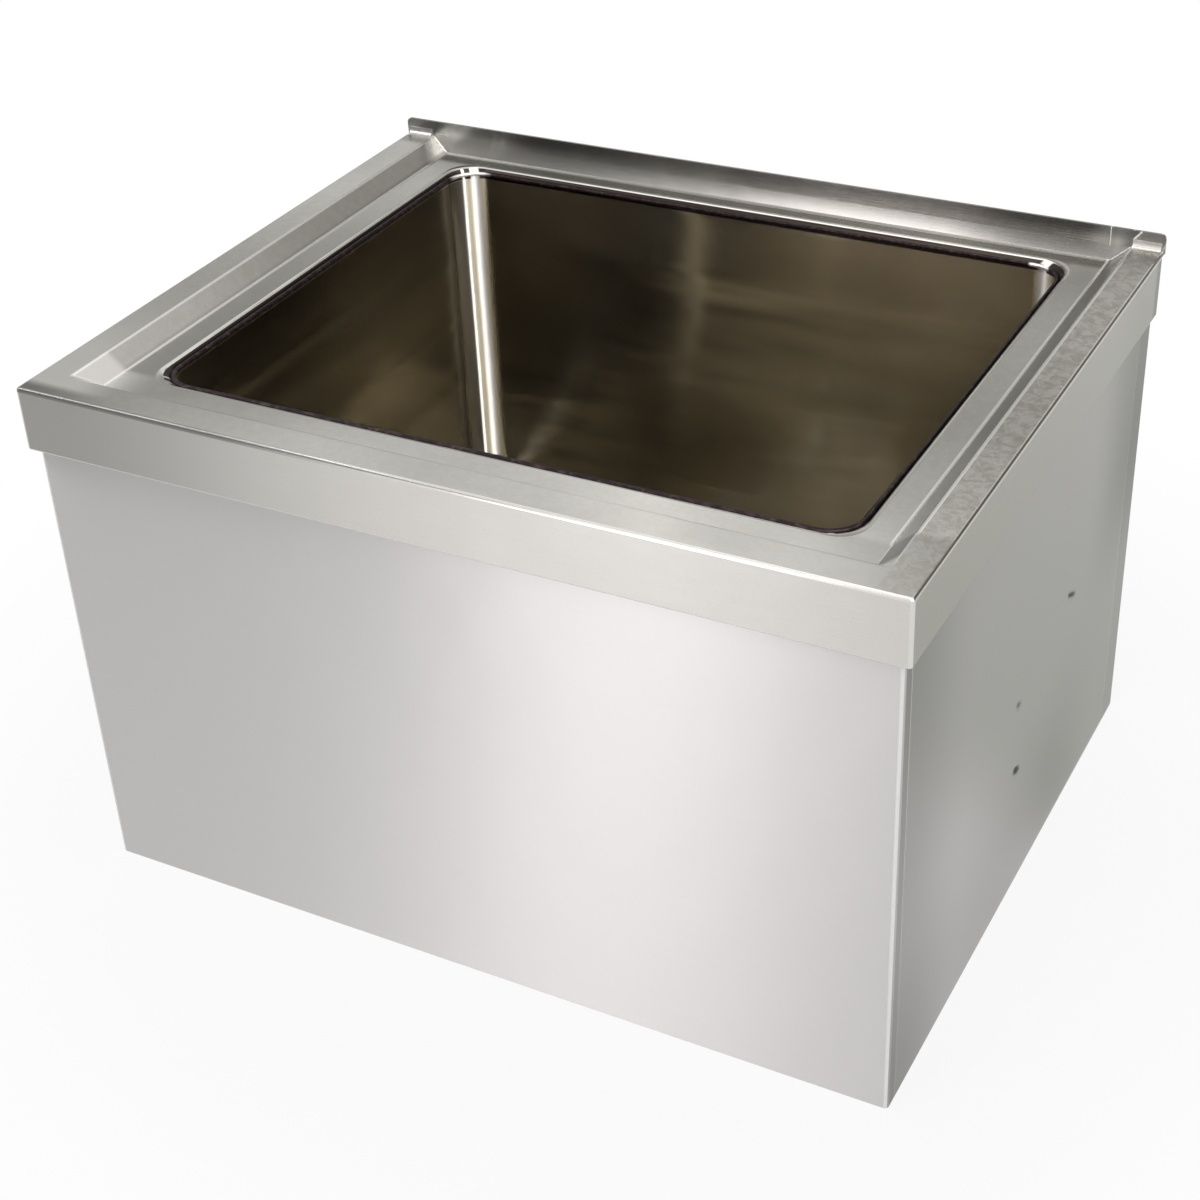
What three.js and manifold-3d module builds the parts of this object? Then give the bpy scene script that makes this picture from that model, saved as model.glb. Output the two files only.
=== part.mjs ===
// A floor-standing mop service sink in stainless steel: a pressed deck with raised rims and a tile
// lip, a deep bowl, a skirted base set in under the deck's apron, and a drain with a lift-out
// strainer. Millimetres, +Z up, front towards -Y. The origin is on the floor, at the middle of the
// outline.

import * as THREE from 'three';
import { mergeVertices } from 'three/addons/utils/BufferGeometryUtils.js';
import Module from 'manifold-3d';

const wasm = await Module();
wasm.setup();

// ---------------------------------------------------------------- driving dimensions

// Overall
const WIDTH = 635; // left to right, over the apron
const DEPTH = 489; // front to back, over the apron, without the tile lip
const RIM_HEIGHT = 400; // floor to the top of the raised rims
const GAP = 0.3; // between pieces that touch
const SQUARE_CORNER = 0.5; // plan radius of corners that are left square

// Deck sheet
const DECK_SHEET = 1.9;
const APRON_DEPTH = 47; // from the rims' top to the apron's lower edge
const APRON_BEND = 2.5; // outside radius of the bend between rim and apron
const APRON_CORNER = 2.5; // outside radius of the apron's upright corners
const HEM_DEPTH = 12; // height of the folded hem along the apron's lower edge
const HEM_THICKNESS = 5.2; // of the apron and its hem together
const HEM_ROUND = 1.2; // rounding of the hem's lower fold
const SIDE_RIM = 23; // outer edge to the start of the slope, left and right
const FRONT_RIM = 25; // the same at the front
const RECESS_DEPTH = 12; // rims' top down to the inner deck
const SLOPE_ANGLE = THREE.MathUtils.degToRad(41);
const SLOPE_BEND = 3.5; // bend radius at the slope's crest and at its toe
const RECESS_CORNER = 5; // plan radius of the recess's corners

// Tile lip along the back
const LIP_RISE = 12.7; // above the rims' top
const LIP_SETBACK = 8.4; // the lip's back lies this far behind the aprons' rear ends
const LIP_CORNER = 4; // rounding of its two upper corners
const LIP_FILLET = 6; // where deck and lip meet

// Bowl
const BOWL_LENGTH = 508; // inside, left to right
const BOWL_BREADTH = 406.4; // inside, front to back
const BOWL_DEPTH = 305; // inner deck down to the foot of the walls
const BOWL_MIDDLE_Y = 26; // the bowl sits towards the back
const BOWL_CORNER = 25; // inside radius of the upright corners
const OPENING_CORNER = 20; // plan radius of the opening's corners, up on the inner deck
const BOWL_COVE = 12; // inside radius between walls and floor
const BOWL_SHEET = 1.5;
const BOWL_FALL = 4; // fall of the floor towards the drain
const ROLL_RADIUS = 6; // rolled edge between deck and bowl
const COLLAR_DEPTH = 12; // inner deck down to the seam between deck and bowl

// Base
const SKIRT_SHEET = 1.5;
const SKIRT_INSET = 5.5; // set in from the apron's outside
const SKIRT_DROP = 9; // rims' top down to the front panel's upper edge
const SKIRT_BEND = 3; // outside radius of the front and rear panels' upright bends
const SKIRT_RETURN = 12; // how far those panels turn round the corner
const FLOOR_FLANGE = 25; // flange turned in along the floor
const FLANGE_NOTCH = 27; // the flange stops this far short of the corners, clear of the posts
const POST_LEG = 25; // corner post, leg width
const POST_BEVEL = 2; // off its outside corner, clear of the panels' bends
const POST_HEIGHT = 340;
const STIFFENER_WIDTH = 40;
const STIFFENER_FOOT = 10; // width of each foot flange
const STIFFENER_HEIGHT = 360;
const STIFFENER_RISE = 12; // how far its raised middle stands in from the panel
const STIFFENER_Y = -8; // on the line of dimples in the side panels
const CHANNEL_TOP = 36; // hat channel, width of its top
const CHANNEL_RISE = 24;
const CHANNEL_FOOT = 14; // width of each foot flange
const CHANNEL_SPREAD = 118; // from the bowl's middle to each channel
const SUPPORT_PAD = 2.5; // thickness of the rubber strips on the channels
const SUPPORT_PAD_LENGTH = 430;
const SUPPORT_PAD_WIDTH = 30;

// Damping pads on the bowl
const SOUND_PAD = 2.5;
const SOUND_PAD_HEIGHT = 140;
const LONG_PAD = 300;
const SHORT_PAD = 220;
const PAD_CORNER = 15;

// Drain
const FLANGE_RADIUS = 55;
const FLANGE_THICKNESS = 2;
const SEAT_RADIUS = 57; // recess in the bowl's floor that takes the flange
const SEAT_DEPTH = 3;
const SEAT_SLOPE = 1; // how far the seat's wall leans out
const SEAT_APPROACH = 6; // level floor round the seat
const FLANGE_BEVEL = 1.5; // width of the flange's sloping outer edge
const FLANGE_EDGE = 0.8; // its fall
const MOUTH_BEVEL = 2; // inside the flange, down to the body's bore
const BODY_RADIUS = 44.5; // threaded body through the bowl's hole
const BOWL_HOLE = 45.5; // radius of that hole
const BODY_WALL = 2.5;
const BODY_HEIGHT = 34; // from the flange's underside to the start of the funnel
const FUNNEL_HEIGHT = 10;
const FUNNEL_WALL = 1; // how much higher the funnel lies inside than outside
const OUTLET_BORE = 26; // radius
const OUTLET_WALL = 4;
const OUTLET_HEIGHT = 17; // straight outlet under the funnel
const STRAINER_LEDGE = 5; // flange's top down to the strainer's ledge
const STRAINER_LEDGE_WIDTH = 4;
const STRAINER_THICKNESS = 2;
const STRAINER_PLAY = 0.6; // between its edge and the body's bore
const STRAINER_HOLE = 3.2; // radius
const STRAINER_PITCH = 10.5; // between rings of holes
const STRAINER_RINGS = 3;
const GASKET_THICKNESS = 3;
const GASKET_RADIUS = 57;
const WASHER_THICKNESS = 1;
const WASHER_RADIUS = 55;
const LOCKNUT_HEIGHT = 9;
const LOCKNUT_RADIUS = 53;
const LOCKNUT_LUGS = 8;
const LUG_REACH = 6;
const LUG_WIDTH = 12;
const LUG_DROP = 3; // nut's top down to the lugs' tops
const SEAL_HEIGHT = 6;
const SEAL_BORE = 25;
const NUT_BORE = 26; // radius of the hole in the nut's lip
const NUT_WALL = 5;
const NUT_LIP = 3; // thickness of the nut's inturned lip
const NUT_GRIP = 12; // how far the nut reaches up round the outlet
const NUT_RIBS = 12;
const RIB_WIDTH = 4;
const RIB_REACH = 2.5;
const RIB_INDENT = 1; // ribs stop short of the nut's ends and reach into its wall

// Facets
const BEND_STEPS = 6; // in a sheet bend of a quarter turn
const CORNER_STEPS = 6; // in a plan corner
const FOLD_STEPS = 3; // in the hem's fold
const TURN_STEPS = 48; // round the drain
const HOLE_STEPS = 10; // round a strainer hole

// ---------------------------------------------------------------- worked-out places

const RIGHT = WIDTH / 2;
const BACK = DEPTH / 2;
const FRONT = -BACK;
const DECK_LEVEL = RIM_HEIGHT - RECESS_DEPTH;
const APRON_FOOT = RIM_HEIGHT - APRON_DEPTH;
const LIP_TOP = RIM_HEIGHT + LIP_RISE;
const LIP_BACK = BACK + LIP_SETBACK;
const LIP_FACE = LIP_BACK - DECK_SHEET;
const SEAM_LEVEL = DECK_LEVEL - COLLAR_DEPTH;
const BOWL_FLOOR = DECK_LEVEL - BOWL_DEPTH;
const DRAIN_FLOOR = BOWL_FLOOR - BOWL_FALL;
const SEAT_LEVEL = DRAIN_FLOOR - SEAT_DEPTH;
const SEAT_UNDERSIDE = SEAT_LEVEL - BOWL_SHEET;
const SKIRT_RIGHT = RIGHT - SKIRT_INSET;
const SKIRT_BACK = BACK - SKIRT_INSET;
const INNER_RIGHT = SKIRT_RIGHT - SKIRT_SHEET;
const INNER_BACK = SKIRT_BACK - SKIRT_SHEET;
const BOWL_RIGHT = BOWL_LENGTH / 2;
const BOWL_FRONT = BOWL_MIDDLE_Y - BOWL_BREADTH / 2;
const BOWL_BACK = BOWL_MIDDLE_Y + BOWL_BREADTH / 2;
const SKIRT_TOP = RIM_HEIGHT - SKIRT_DROP;
const REAR_SKIRT_TOP = DECK_LEVEL - DECK_SHEET - GAP;
const CLEAR = 20; // how far a cutting solid reaches past what it cuts

// ---------------------------------------------------------------- materials

function metal(colour, roughness) {
  return new THREE.MeshStandardMaterial({ color: colour, roughness, metalness: 1 });
}

function dull(colour, roughness) {
  return new THREE.MeshStandardMaterial({ color: colour, roughness, metalness: 0 });
}

const deckSteel = metal('#b4b2ad', 0.38);
const skirtSteel = metal('#bcb8b6', 0.34);
const bowlSteel = metal('#4b453c', 0.16);
const plainSteel = metal('#a3a29d', 0.45);
const polishedSteel = metal('#b9b8b4', 0.25);
const brass = metal('#b39a5a', 0.4);
const rubber = dull('#1d1d1d', 0.85);
const fibre = dull('#8a5a3c', 0.9);
const damping = dull('#3a3a3c', 0.95);

// ---------------------------------------------------------------- solids

function solidOf(geometry) {
  const bare = geometry.index ? geometry.toNonIndexed() : geometry.clone();
  bare.deleteAttribute('normal');
  bare.deleteAttribute('uv');
  const merged = mergeVertices(bare, 1e-4);
  const mesh = new wasm.Mesh({
    numProp: 3,
    vertProperties: new Float32Array(merged.attributes.position.array),
    triVerts: new Uint32Array(merged.index.array),
  });
  return new wasm.Manifold(mesh);
}

function geometryOf(solid) {
  const mesh = solid.getMesh();
  const geometry = new THREE.BufferGeometry();
  geometry.setAttribute('position', new THREE.BufferAttribute(mesh.vertProperties, 3));
  geometry.setIndex(new THREE.BufferAttribute(mesh.triVerts, 1));
  return geometry;
}

function joined(...geometries) {
  return geometryOf(geometries.map(solidOf).reduce((whole, piece) => whole.add(piece)));
}

function cut(geometry, ...tools) {
  const start = solidOf(geometry);
  return geometryOf(tools.map(solidOf).reduce((left, tool) => left.subtract(tool), start));
}

// A box given by its low and high corners.
function block(low, high) {
  const size = high.map((value, axis) => value - low[axis]);
  const middle = high.map((value, axis) => (value + low[axis]) / 2);
  return new THREE.BoxGeometry(...size).translate(...middle);
}

// A closed outline of [x, y] points, raised from z = low to z = high.
function raised(points, low, high) {
  const shape = new THREE.Shape(points.map(([x, y]) => new THREE.Vector2(x, y)));
  const geometry = new THREE.ExtrudeGeometry(shape, { depth: high - low, bevelEnabled: false });
  return geometry.translate(0, 0, low);
}

// An outline of [y, z] points, run from x = low to x = high.
function runAlongX(points, low, high) {
  return raised(points, low, high).applyMatrix4(new THREE.Matrix4().set(
    0, 0, 1, 0,
    1, 0, 0, 0,
    0, 1, 0, 0,
    0, 0, 0, 1,
  ));
}

// Points on an arc, both ends included. Angles are in quarter turns from +X.
function arc(centreX, centreY, radius, from, to, steps = BEND_STEPS) {
  return Array.from({ length: steps + 1 }, (_, step) => {
    const angle = (from + ((to - from) * step) / steps) * (Math.PI / 2);
    return [centreX + radius * Math.cos(angle), centreY + radius * Math.sin(angle)];
  });
}

// A rounded rectangle in plan at height z, anticlockwise from its front right corner.
// radii go front right, back right, back left, front left.
function ring({ left, right, front, back, z, radii }) {
  const [frontRight, backRight, backLeft, frontLeft] = radii;
  return [
    ...arc(right - frontRight, front + frontRight, frontRight, -1, 0, CORNER_STEPS),
    ...arc(right - backRight, back - backRight, backRight, 0, 1, CORNER_STEPS),
    ...arc(left + backLeft, back - backLeft, backLeft, 1, 2, CORNER_STEPS),
    ...arc(left + frontLeft, front + frontLeft, frontLeft, 2, 3, CORNER_STEPS),
  ].map(([x, y]) => [x, y, z]);
}

// A circle with the same number of points as a ring, starting in the same direction.
function roundRing(radius, z, middleY) {
  const count = 4 * (CORNER_STEPS + 1);
  return Array.from({ length: count }, (_, step) => {
    const side = Math.floor(step / (CORNER_STEPS + 1));
    const along = (step % (CORNER_STEPS + 1)) / CORNER_STEPS;
    const spread = 0.8; // share of each quarter that its corner's points take
    const angle = (-1 + side + (1 - spread) / 2 + along * spread) * (Math.PI / 2);
    return [radius * Math.cos(angle), middleY + radius * Math.sin(angle), z];
  });
}

function lofted(rings, closesOnItself) {
  const count = rings[0].length;
  const points = rings.flat();
  const triangles = [];
  const last = closesOnItself ? rings.length : rings.length - 1;
  for (let level = 0; level < last; level += 1) {
    const below = level * count;
    const above = ((level + 1) % rings.length) * count;
    for (let step = 0; step < count; step += 1) {
      const next = (step + 1) % count;
      triangles.push(below + step, below + next, above + next);
      triangles.push(below + step, above + next, above + step);
    }
  }
  if (!closesOnItself) {
    const top = (rings.length - 1) * count;
    for (let step = 1; step < count - 1; step += 1) {
      triangles.push(0, step + 1, step);
      triangles.push(top, top + step, top + step + 1);
    }
  }
  const geometry = new THREE.BufferGeometry();
  geometry.setAttribute('position', new THREE.Float32BufferAttribute(points.flat(), 3));
  geometry.setIndex(triangles);
  return geometry;
}

// A solid with level ends, through rings given from the lowest to the highest.
function stack(rings) {
  return lofted(rings, false);
}

// A sheet with a hole through it: rings go up its outside and down its inside.
function wrapped(rings) {
  return lofted(rings, true);
}

// A turned solid from a closed [radius, z] section, given anticlockwise, on the drain's axis.
function turned(section) {
  const profile = [...section, section[0]].map(([radius, z]) => new THREE.Vector2(radius, z));
  return new THREE.LatheGeometry(profile, TURN_STEPS)
    .rotateX(Math.PI / 2)
    .translate(0, BOWL_MIDDLE_Y, 0);
}

function washer(inner, outer, low, high) {
  return turned([[inner, low], [outer, low], [outer, high], [inner, high]]);
}

// ---------------------------------------------------------------- deck

// The slope between rim and inner deck, from its crest down: how far each point lies in from the
// slope's start, and its drop below the rims' top. sheet moves it to the sheet's underside.
function slopeProfile(sheet) {
  const crest = SLOPE_BEND - sheet;
  const toe = SLOPE_BEND + sheet;
  const drop = RECESS_DEPTH - 2 * SLOPE_BEND * (1 - Math.cos(SLOPE_ANGLE));
  const straight = drop / Math.tan(SLOPE_ANGLE);
  const run = 2 * SLOPE_BEND * Math.sin(SLOPE_ANGLE) + straight;
  const share = SLOPE_ANGLE / (Math.PI / 2);
  const crestArc = arc(0, -SLOPE_BEND, crest, 1, 1 - share);
  const toeArc = arc(run, SLOPE_BEND - RECESS_DEPTH, toe, -1 - share, -1);
  return [...crestArc, ...toeArc].map(([inset, z]) => ({ inset, z: RIM_HEIGHT + z }));
}

// The hollow that the raised rims leave, up past the lip. Its back runs along the lip's face.
function recess(sheet) {
  const levels = slopeProfile(sheet).reverse();
  const fillet = LIP_FILLET;
  const back = sheet > 0 ? LIP_BACK + CLEAR : LIP_FACE;
  const ringAt = ({ inset, z }) => {
    const sunk = THREE.MathUtils.clamp(DECK_LEVEL + fillet - z, 0, fillet);
    const filletReach = sheet > 0 ? 0 : fillet - Math.sqrt(fillet ** 2 - sunk ** 2);
    return ring({
      left: -RIGHT + SIDE_RIM + inset,
      right: RIGHT - SIDE_RIM - inset,
      front: FRONT + FRONT_RIM + inset,
      back: back - filletReach,
      z,
      radii: [RECESS_CORNER, SQUARE_CORNER, SQUARE_CORNER, RECESS_CORNER],
    });
  };
  const top = levels[levels.length - 1];
  return stack([...levels.map(ringAt), ringAt({ inset: top.inset, z: LIP_TOP + CLEAR })]);
}

// Plan radii of the apron's corners, square at the back.
function apronRadii(less) {
  const corner = APRON_CORNER - less;
  return [corner, SQUARE_CORNER, SQUARE_CORNER, corner];
}

// The block whose top and sides are the deck's outside.
function outerBlock() {
  const ringAt = (inset, z) => ring({
    left: -RIGHT + inset,
    right: RIGHT - inset,
    front: FRONT + inset,
    back: LIP_BACK,
    z,
    radii: apronRadii(inset / 2),
  });
  const fold = arc(HEM_ROUND, APRON_FOOT + HEM_ROUND, HEM_ROUND, 3, 2, FOLD_STEPS);
  const bend = arc(APRON_BEND, RIM_HEIGHT - APRON_BEND, APRON_BEND, 2, 1);
  return stack([...fold, ...bend].map(([inset, z]) => ringAt(inset, z)));
}

// The hollow under the deck sheet, inside the apron and its hem.
function innerBlock() {
  const ringAt = (inset, z) => ring({
    left: -RIGHT + inset,
    right: RIGHT - inset,
    front: FRONT + inset,
    back: LIP_FACE,
    z,
    radii: apronRadii(DECK_SHEET),
  });
  const hemTop = APRON_FOOT + HEM_DEPTH;
  const bend = arc(APRON_BEND, RIM_HEIGHT - APRON_BEND, APRON_BEND - DECK_SHEET, 2, 1);
  return stack([
    ringAt(HEM_THICKNESS, APRON_FOOT - CLEAR),
    ringAt(HEM_THICKNESS, hemTop - HEM_ROUND),
    ringAt(DECK_SHEET, hemTop),
    ...bend.map(([inset, z]) => ringAt(inset, z)),
  ]);
}

// The deck has no apron at the back, so the hollow runs out there under the inner deck.
function rearWay() {
  const inset = HEM_THICKNESS;
  return block(
    [-RIGHT + inset, LIP_FACE - CLEAR, APRON_FOOT - CLEAR],
    [RIGHT - inset, LIP_BACK + CLEAR, DECK_LEVEL - DECK_SHEET],
  );
}

// What is missing behind the side aprons, which stop short of the lip.
function behindApron(side) {
  const near = side * (RIGHT - HEM_THICKNESS);
  const far = side * (RIGHT + CLEAR);
  return block(
    [Math.min(near, far), BACK, APRON_FOOT - CLEAR],
    [Math.max(near, far), LIP_BACK + CLEAR, RIM_HEIGHT - DECK_SHEET],
  );
}

// The opening, with its rolled upper edge, whose corners tighten from the bowl's radius to its own.
// sheet moves it to the collar's outside.
function openingWay(sheet) {
  const ringAt = (out, z) => {
    const share = (out - sheet) / (ROLL_RADIUS - sheet); // 0 at the collar, 1 at the inner deck
    return ring({
      left: -BOWL_RIGHT - out,
      right: BOWL_RIGHT + out,
      front: BOWL_FRONT - out,
      back: BOWL_BACK + out,
      z,
      radii: Array(4).fill(THREE.MathUtils.lerp(BOWL_CORNER + sheet, OPENING_CORNER, share)),
    });
  };
  const roll = arc(-ROLL_RADIUS, -ROLL_RADIUS, ROLL_RADIUS - sheet, 0, 1);
  return stack([
    ringAt(sheet, APRON_FOOT - CLEAR),
    ...roll.map(([inset, z]) => ringAt(-inset, DECK_LEVEL + z)),
    ringAt(ROLL_RADIUS, LIP_TOP + CLEAR),
  ]);
}

// What lies under the collar, which ends at the seam to the bowl.
function belowCollar() {
  const past = 2 * DECK_SHEET;
  const ringAt = (z) => ring({
    left: -BOWL_RIGHT - past,
    right: BOWL_RIGHT + past,
    front: BOWL_FRONT - past,
    back: BOWL_BACK + past,
    z,
    radii: Array(4).fill(BOWL_CORNER),
  });
  return stack([ringAt(APRON_FOOT - CLEAR), ringAt(SEAM_LEVEL)]);
}

// The upright tile lip, with its rounded ends and the fillet along its foot.
function lip() {
  const foot = DECK_LEVEL - DECK_SHEET;
  const face = [
    [-RIGHT, foot],
    [RIGHT, foot],
    ...arc(RIGHT - LIP_CORNER, LIP_TOP - LIP_CORNER, LIP_CORNER, 0, 1),
    ...arc(-RIGHT + LIP_CORNER, LIP_TOP - LIP_CORNER, LIP_CORNER, 1, 2),
  ];
  const plate = raised(face, -LIP_BACK, -LIP_FACE).rotateX(Math.PI / 2);
  const inPlate = LIP_FACE + DECK_SHEET / 2;
  const fillet = [
    [inPlate, DECK_LEVEL],
    [inPlate, RIM_HEIGHT + LIP_FILLET],
    ...arc(LIP_FACE - LIP_FILLET, RIM_HEIGHT + LIP_FILLET, LIP_FILLET, 0, -1),
    [LIP_FACE - LIP_FILLET, DECK_LEVEL],
  ].reverse();
  const filletEnd = RIGHT - APRON_BEND;
  return joined(plate, runAlongX(fillet, -filletEnd, filletEnd));
}

function deck() {
  const outside = cut(joined(outerBlock(), lip()), recess(0), openingWay(0));
  const hollow = cut(joined(innerBlock(), rearWay()), recess(DECK_SHEET), openingWay(DECK_SHEET));
  return cut(outside, hollow, belowCollar(), behindApron(-1), behindApron(1));
}

// ---------------------------------------------------------------- bowl

function bowl() {
  const wallRing = (out, z, radius) => ring({
    left: -BOWL_RIGHT - out,
    right: BOWL_RIGHT + out,
    front: BOWL_FRONT - out,
    back: BOWL_BACK + out,
    z,
    radii: Array(4).fill(radius),
  });
  // One face of the sheet, from the seam down the wall, round the cove and over the floor.
  const face = (sheet) => {
    const cove = arc(-BOWL_COVE, BOWL_COVE, BOWL_COVE + sheet, 0, -1);
    return [
      wallRing(sheet, SEAM_LEVEL - GAP, BOWL_CORNER + sheet),
      ...cove.map(([out, z]) => wallRing(out, BOWL_FLOOR + z, BOWL_CORNER + out)),
      roundRing(SEAT_RADIUS + SEAT_APPROACH, DRAIN_FLOOR - sheet, BOWL_MIDDLE_Y),
      roundRing(SEAT_RADIUS + sheet, DRAIN_FLOOR - SEAT_SLOPE - sheet, BOWL_MIDDLE_Y),
      roundRing(SEAT_RADIUS - SEAT_SLOPE + sheet, SEAT_LEVEL - sheet, BOWL_MIDDLE_Y),
      roundRing(BOWL_HOLE, SEAT_LEVEL - sheet, BOWL_MIDDLE_Y),
    ];
  };
  return wrapped([...face(BOWL_SHEET).reverse(), ...face(0)]);
}

function soundPadOnLongWall(y, direction) {
  const near = y + direction * (BOWL_SHEET + GAP);
  const far = near + direction * SOUND_PAD;
  const height = (BOWL_FLOOR + SEAM_LEVEL) / 2;
  const outline = ring({
    left: -LONG_PAD / 2,
    right: LONG_PAD / 2,
    front: height - SOUND_PAD_HEIGHT / 2,
    back: height + SOUND_PAD_HEIGHT / 2,
    z: 0,
    radii: Array(4).fill(PAD_CORNER),
  });
  const low = Math.min(near, far);
  return raised(outline, -low - SOUND_PAD, -low).rotateX(Math.PI / 2);
}

function soundPadOnShortWall(direction) {
  const near = BOWL_RIGHT + BOWL_SHEET + GAP;
  const height = (BOWL_FLOOR + SEAM_LEVEL) / 2;
  const outline = ring({
    left: BOWL_MIDDLE_Y - SHORT_PAD / 2,
    right: BOWL_MIDDLE_Y + SHORT_PAD / 2,
    front: height - SOUND_PAD_HEIGHT / 2,
    back: height + SOUND_PAD_HEIGHT / 2,
    z: 0,
    radii: Array(4).fill(PAD_CORNER),
  });
  const low = direction > 0 ? near : -near - SOUND_PAD;
  return runAlongX(outline, low, low + SOUND_PAD);
}

// ---------------------------------------------------------------- base

// The front panel, which turns round both corners. The back panel is its mirror image.
function facePanel(side, top) {
  const outer = SKIRT_RIGHT;
  const inner = INNER_RIGHT;
  const face = -SKIRT_BACK;
  const end = face + SKIRT_RETURN;
  const bend = SKIRT_BEND;
  const outline = [
    [-outer, end],
    ...arc(-outer + bend, face + bend, bend, 2, 3),
    ...arc(outer - bend, face + bend, bend, 3, 4),
    [outer, end],
    [inner, end],
    ...arc(outer - bend, face + bend, bend - SKIRT_SHEET, 4, 3),
    ...arc(-outer + bend, face + bend, bend - SKIRT_SHEET, 3, 2),
    [-inner, end],
  ];
  const flange = block(
    [-inner + FLANGE_NOTCH, face + SKIRT_SHEET / 2, 0],
    [inner - FLANGE_NOTCH, face + SKIRT_SHEET + FLOOR_FLANGE, SKIRT_SHEET],
  );
  const panel = joined(raised(outline, 0, top), flange);
  return side < 0 ? panel : panel.rotateZ(Math.PI);
}

function sidePanel(side) {
  const start = -SKIRT_BACK + SKIRT_RETURN + GAP;
  const wall = block([INNER_RIGHT, start, 0], [SKIRT_RIGHT, -start, REAR_SKIRT_TOP]);
  const flange = block(
    [INNER_RIGHT - FLOOR_FLANGE, -INNER_BACK + FLANGE_NOTCH, 0],
    [INNER_RIGHT + SKIRT_SHEET / 2, INNER_BACK - FLANGE_NOTCH, SKIRT_SHEET],
  );
  const panel = joined(wall, flange);
  return side > 0 ? panel : panel.rotateZ(Math.PI);
}

function cornerPost(sideX, sideY) {
  const x = INNER_RIGHT - GAP;
  const y = INNER_BACK - GAP;
  const outline = [
    [x, y - POST_BEVEL],
    [x - POST_BEVEL, y],
    [x - POST_LEG, y],
    [x - POST_LEG, y - SKIRT_SHEET],
    [x - SKIRT_SHEET, y - SKIRT_SHEET],
    [x - SKIRT_SHEET, y - POST_LEG],
    [x, y - POST_LEG],
  ];
  return raised(outline.map(([px, py]) => [px * sideX, py * sideY]), 0, POST_HEIGHT);
}

// A hat section in the [across, up] plane, its feet at up = 0, anticlockwise.
function hatSection(top, rise, foot, sheet) {
  const half = top / 2;
  return [
    [-half - foot, 0],
    [-half + sheet, 0],
    [-half + sheet, rise - sheet],
    [half - sheet, rise - sheet],
    [half - sheet, 0],
    [half + foot, 0],
    [half + foot, sheet],
    [half, sheet],
    [half, rise],
    [-half, rise],
    [-half, sheet],
    [-half - foot, sheet],
  ];
}

function sideStiffener(side) {
  const wall = INNER_RIGHT - GAP;
  const top = STIFFENER_WIDTH - 2 * STIFFENER_FOOT;
  const section = hatSection(top, STIFFENER_RISE, STIFFENER_FOOT, SKIRT_SHEET);
  const outline = section.map(([across, up]) => [side * (wall - up), STIFFENER_Y + across]);
  const foot = SKIRT_SHEET + GAP;
  return raised(outline, foot, foot + STIFFENER_HEIGHT);
}

// Height of the bowl floor's underside over a channel, where it is lowest.
const CHANNEL_PAD_TOP = DRAIN_FLOOR - BOWL_SHEET - GAP;
const CHANNEL_LEVEL = CHANNEL_PAD_TOP - SUPPORT_PAD - GAP;

function supportChannel(side) {
  const y = BOWL_MIDDLE_Y + side * CHANNEL_SPREAD;
  const section = hatSection(CHANNEL_TOP, CHANNEL_RISE, CHANNEL_FOOT, SKIRT_SHEET);
  const low = CHANNEL_LEVEL - CHANNEL_RISE;
  const outline = section.map(([across, up]) => [y + across, low + up]);
  const end = INNER_RIGHT - GAP;
  return runAlongX(outline, -end, end);
}

function supportPad(side) {
  const y = BOWL_MIDDLE_Y + side * CHANNEL_SPREAD;
  const half = SUPPORT_PAD_WIDTH / 2;
  return block(
    [-SUPPORT_PAD_LENGTH / 2, y - half, CHANNEL_LEVEL + GAP],
    [SUPPORT_PAD_LENGTH / 2, y + half, CHANNEL_PAD_TOP],
  );
}

// ---------------------------------------------------------------- drain

const FLANGE_UNDERSIDE = SEAT_LEVEL + GAP;
const FLANGE_TOP = FLANGE_UNDERSIDE + FLANGE_THICKNESS;
const LEDGE_LEVEL = FLANGE_TOP - STRAINER_LEDGE;
const FUNNEL_TOP = FLANGE_UNDERSIDE - BODY_HEIGHT;
const FUNNEL_FOOT = FUNNEL_TOP - FUNNEL_HEIGHT;
const OUTLET_FOOT = FUNNEL_FOOT - OUTLET_HEIGHT;
const BODY_BORE = BODY_RADIUS - BODY_WALL;
const OUTLET_RADIUS = OUTLET_BORE + OUTLET_WALL;

function drainBody() {
  return turned([
    [OUTLET_BORE, OUTLET_FOOT],
    [OUTLET_RADIUS, OUTLET_FOOT],
    [OUTLET_RADIUS, FUNNEL_FOOT],
    [BODY_RADIUS, FUNNEL_TOP],
    [BODY_RADIUS, FLANGE_UNDERSIDE],
    [FLANGE_RADIUS, FLANGE_UNDERSIDE],
    [FLANGE_RADIUS, FLANGE_TOP - FLANGE_EDGE],
    [FLANGE_RADIUS - FLANGE_BEVEL, FLANGE_TOP],
    [BODY_BORE + MOUTH_BEVEL, FLANGE_TOP],
    [BODY_BORE, FLANGE_TOP - MOUTH_BEVEL],
    [BODY_BORE, LEDGE_LEVEL],
    [BODY_BORE - STRAINER_LEDGE_WIDTH, LEDGE_LEVEL],
    [BODY_BORE - STRAINER_LEDGE_WIDTH, FUNNEL_TOP + FUNNEL_WALL],
    [OUTLET_BORE, FUNNEL_FOOT + FUNNEL_WALL],
  ]);
}

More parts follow.
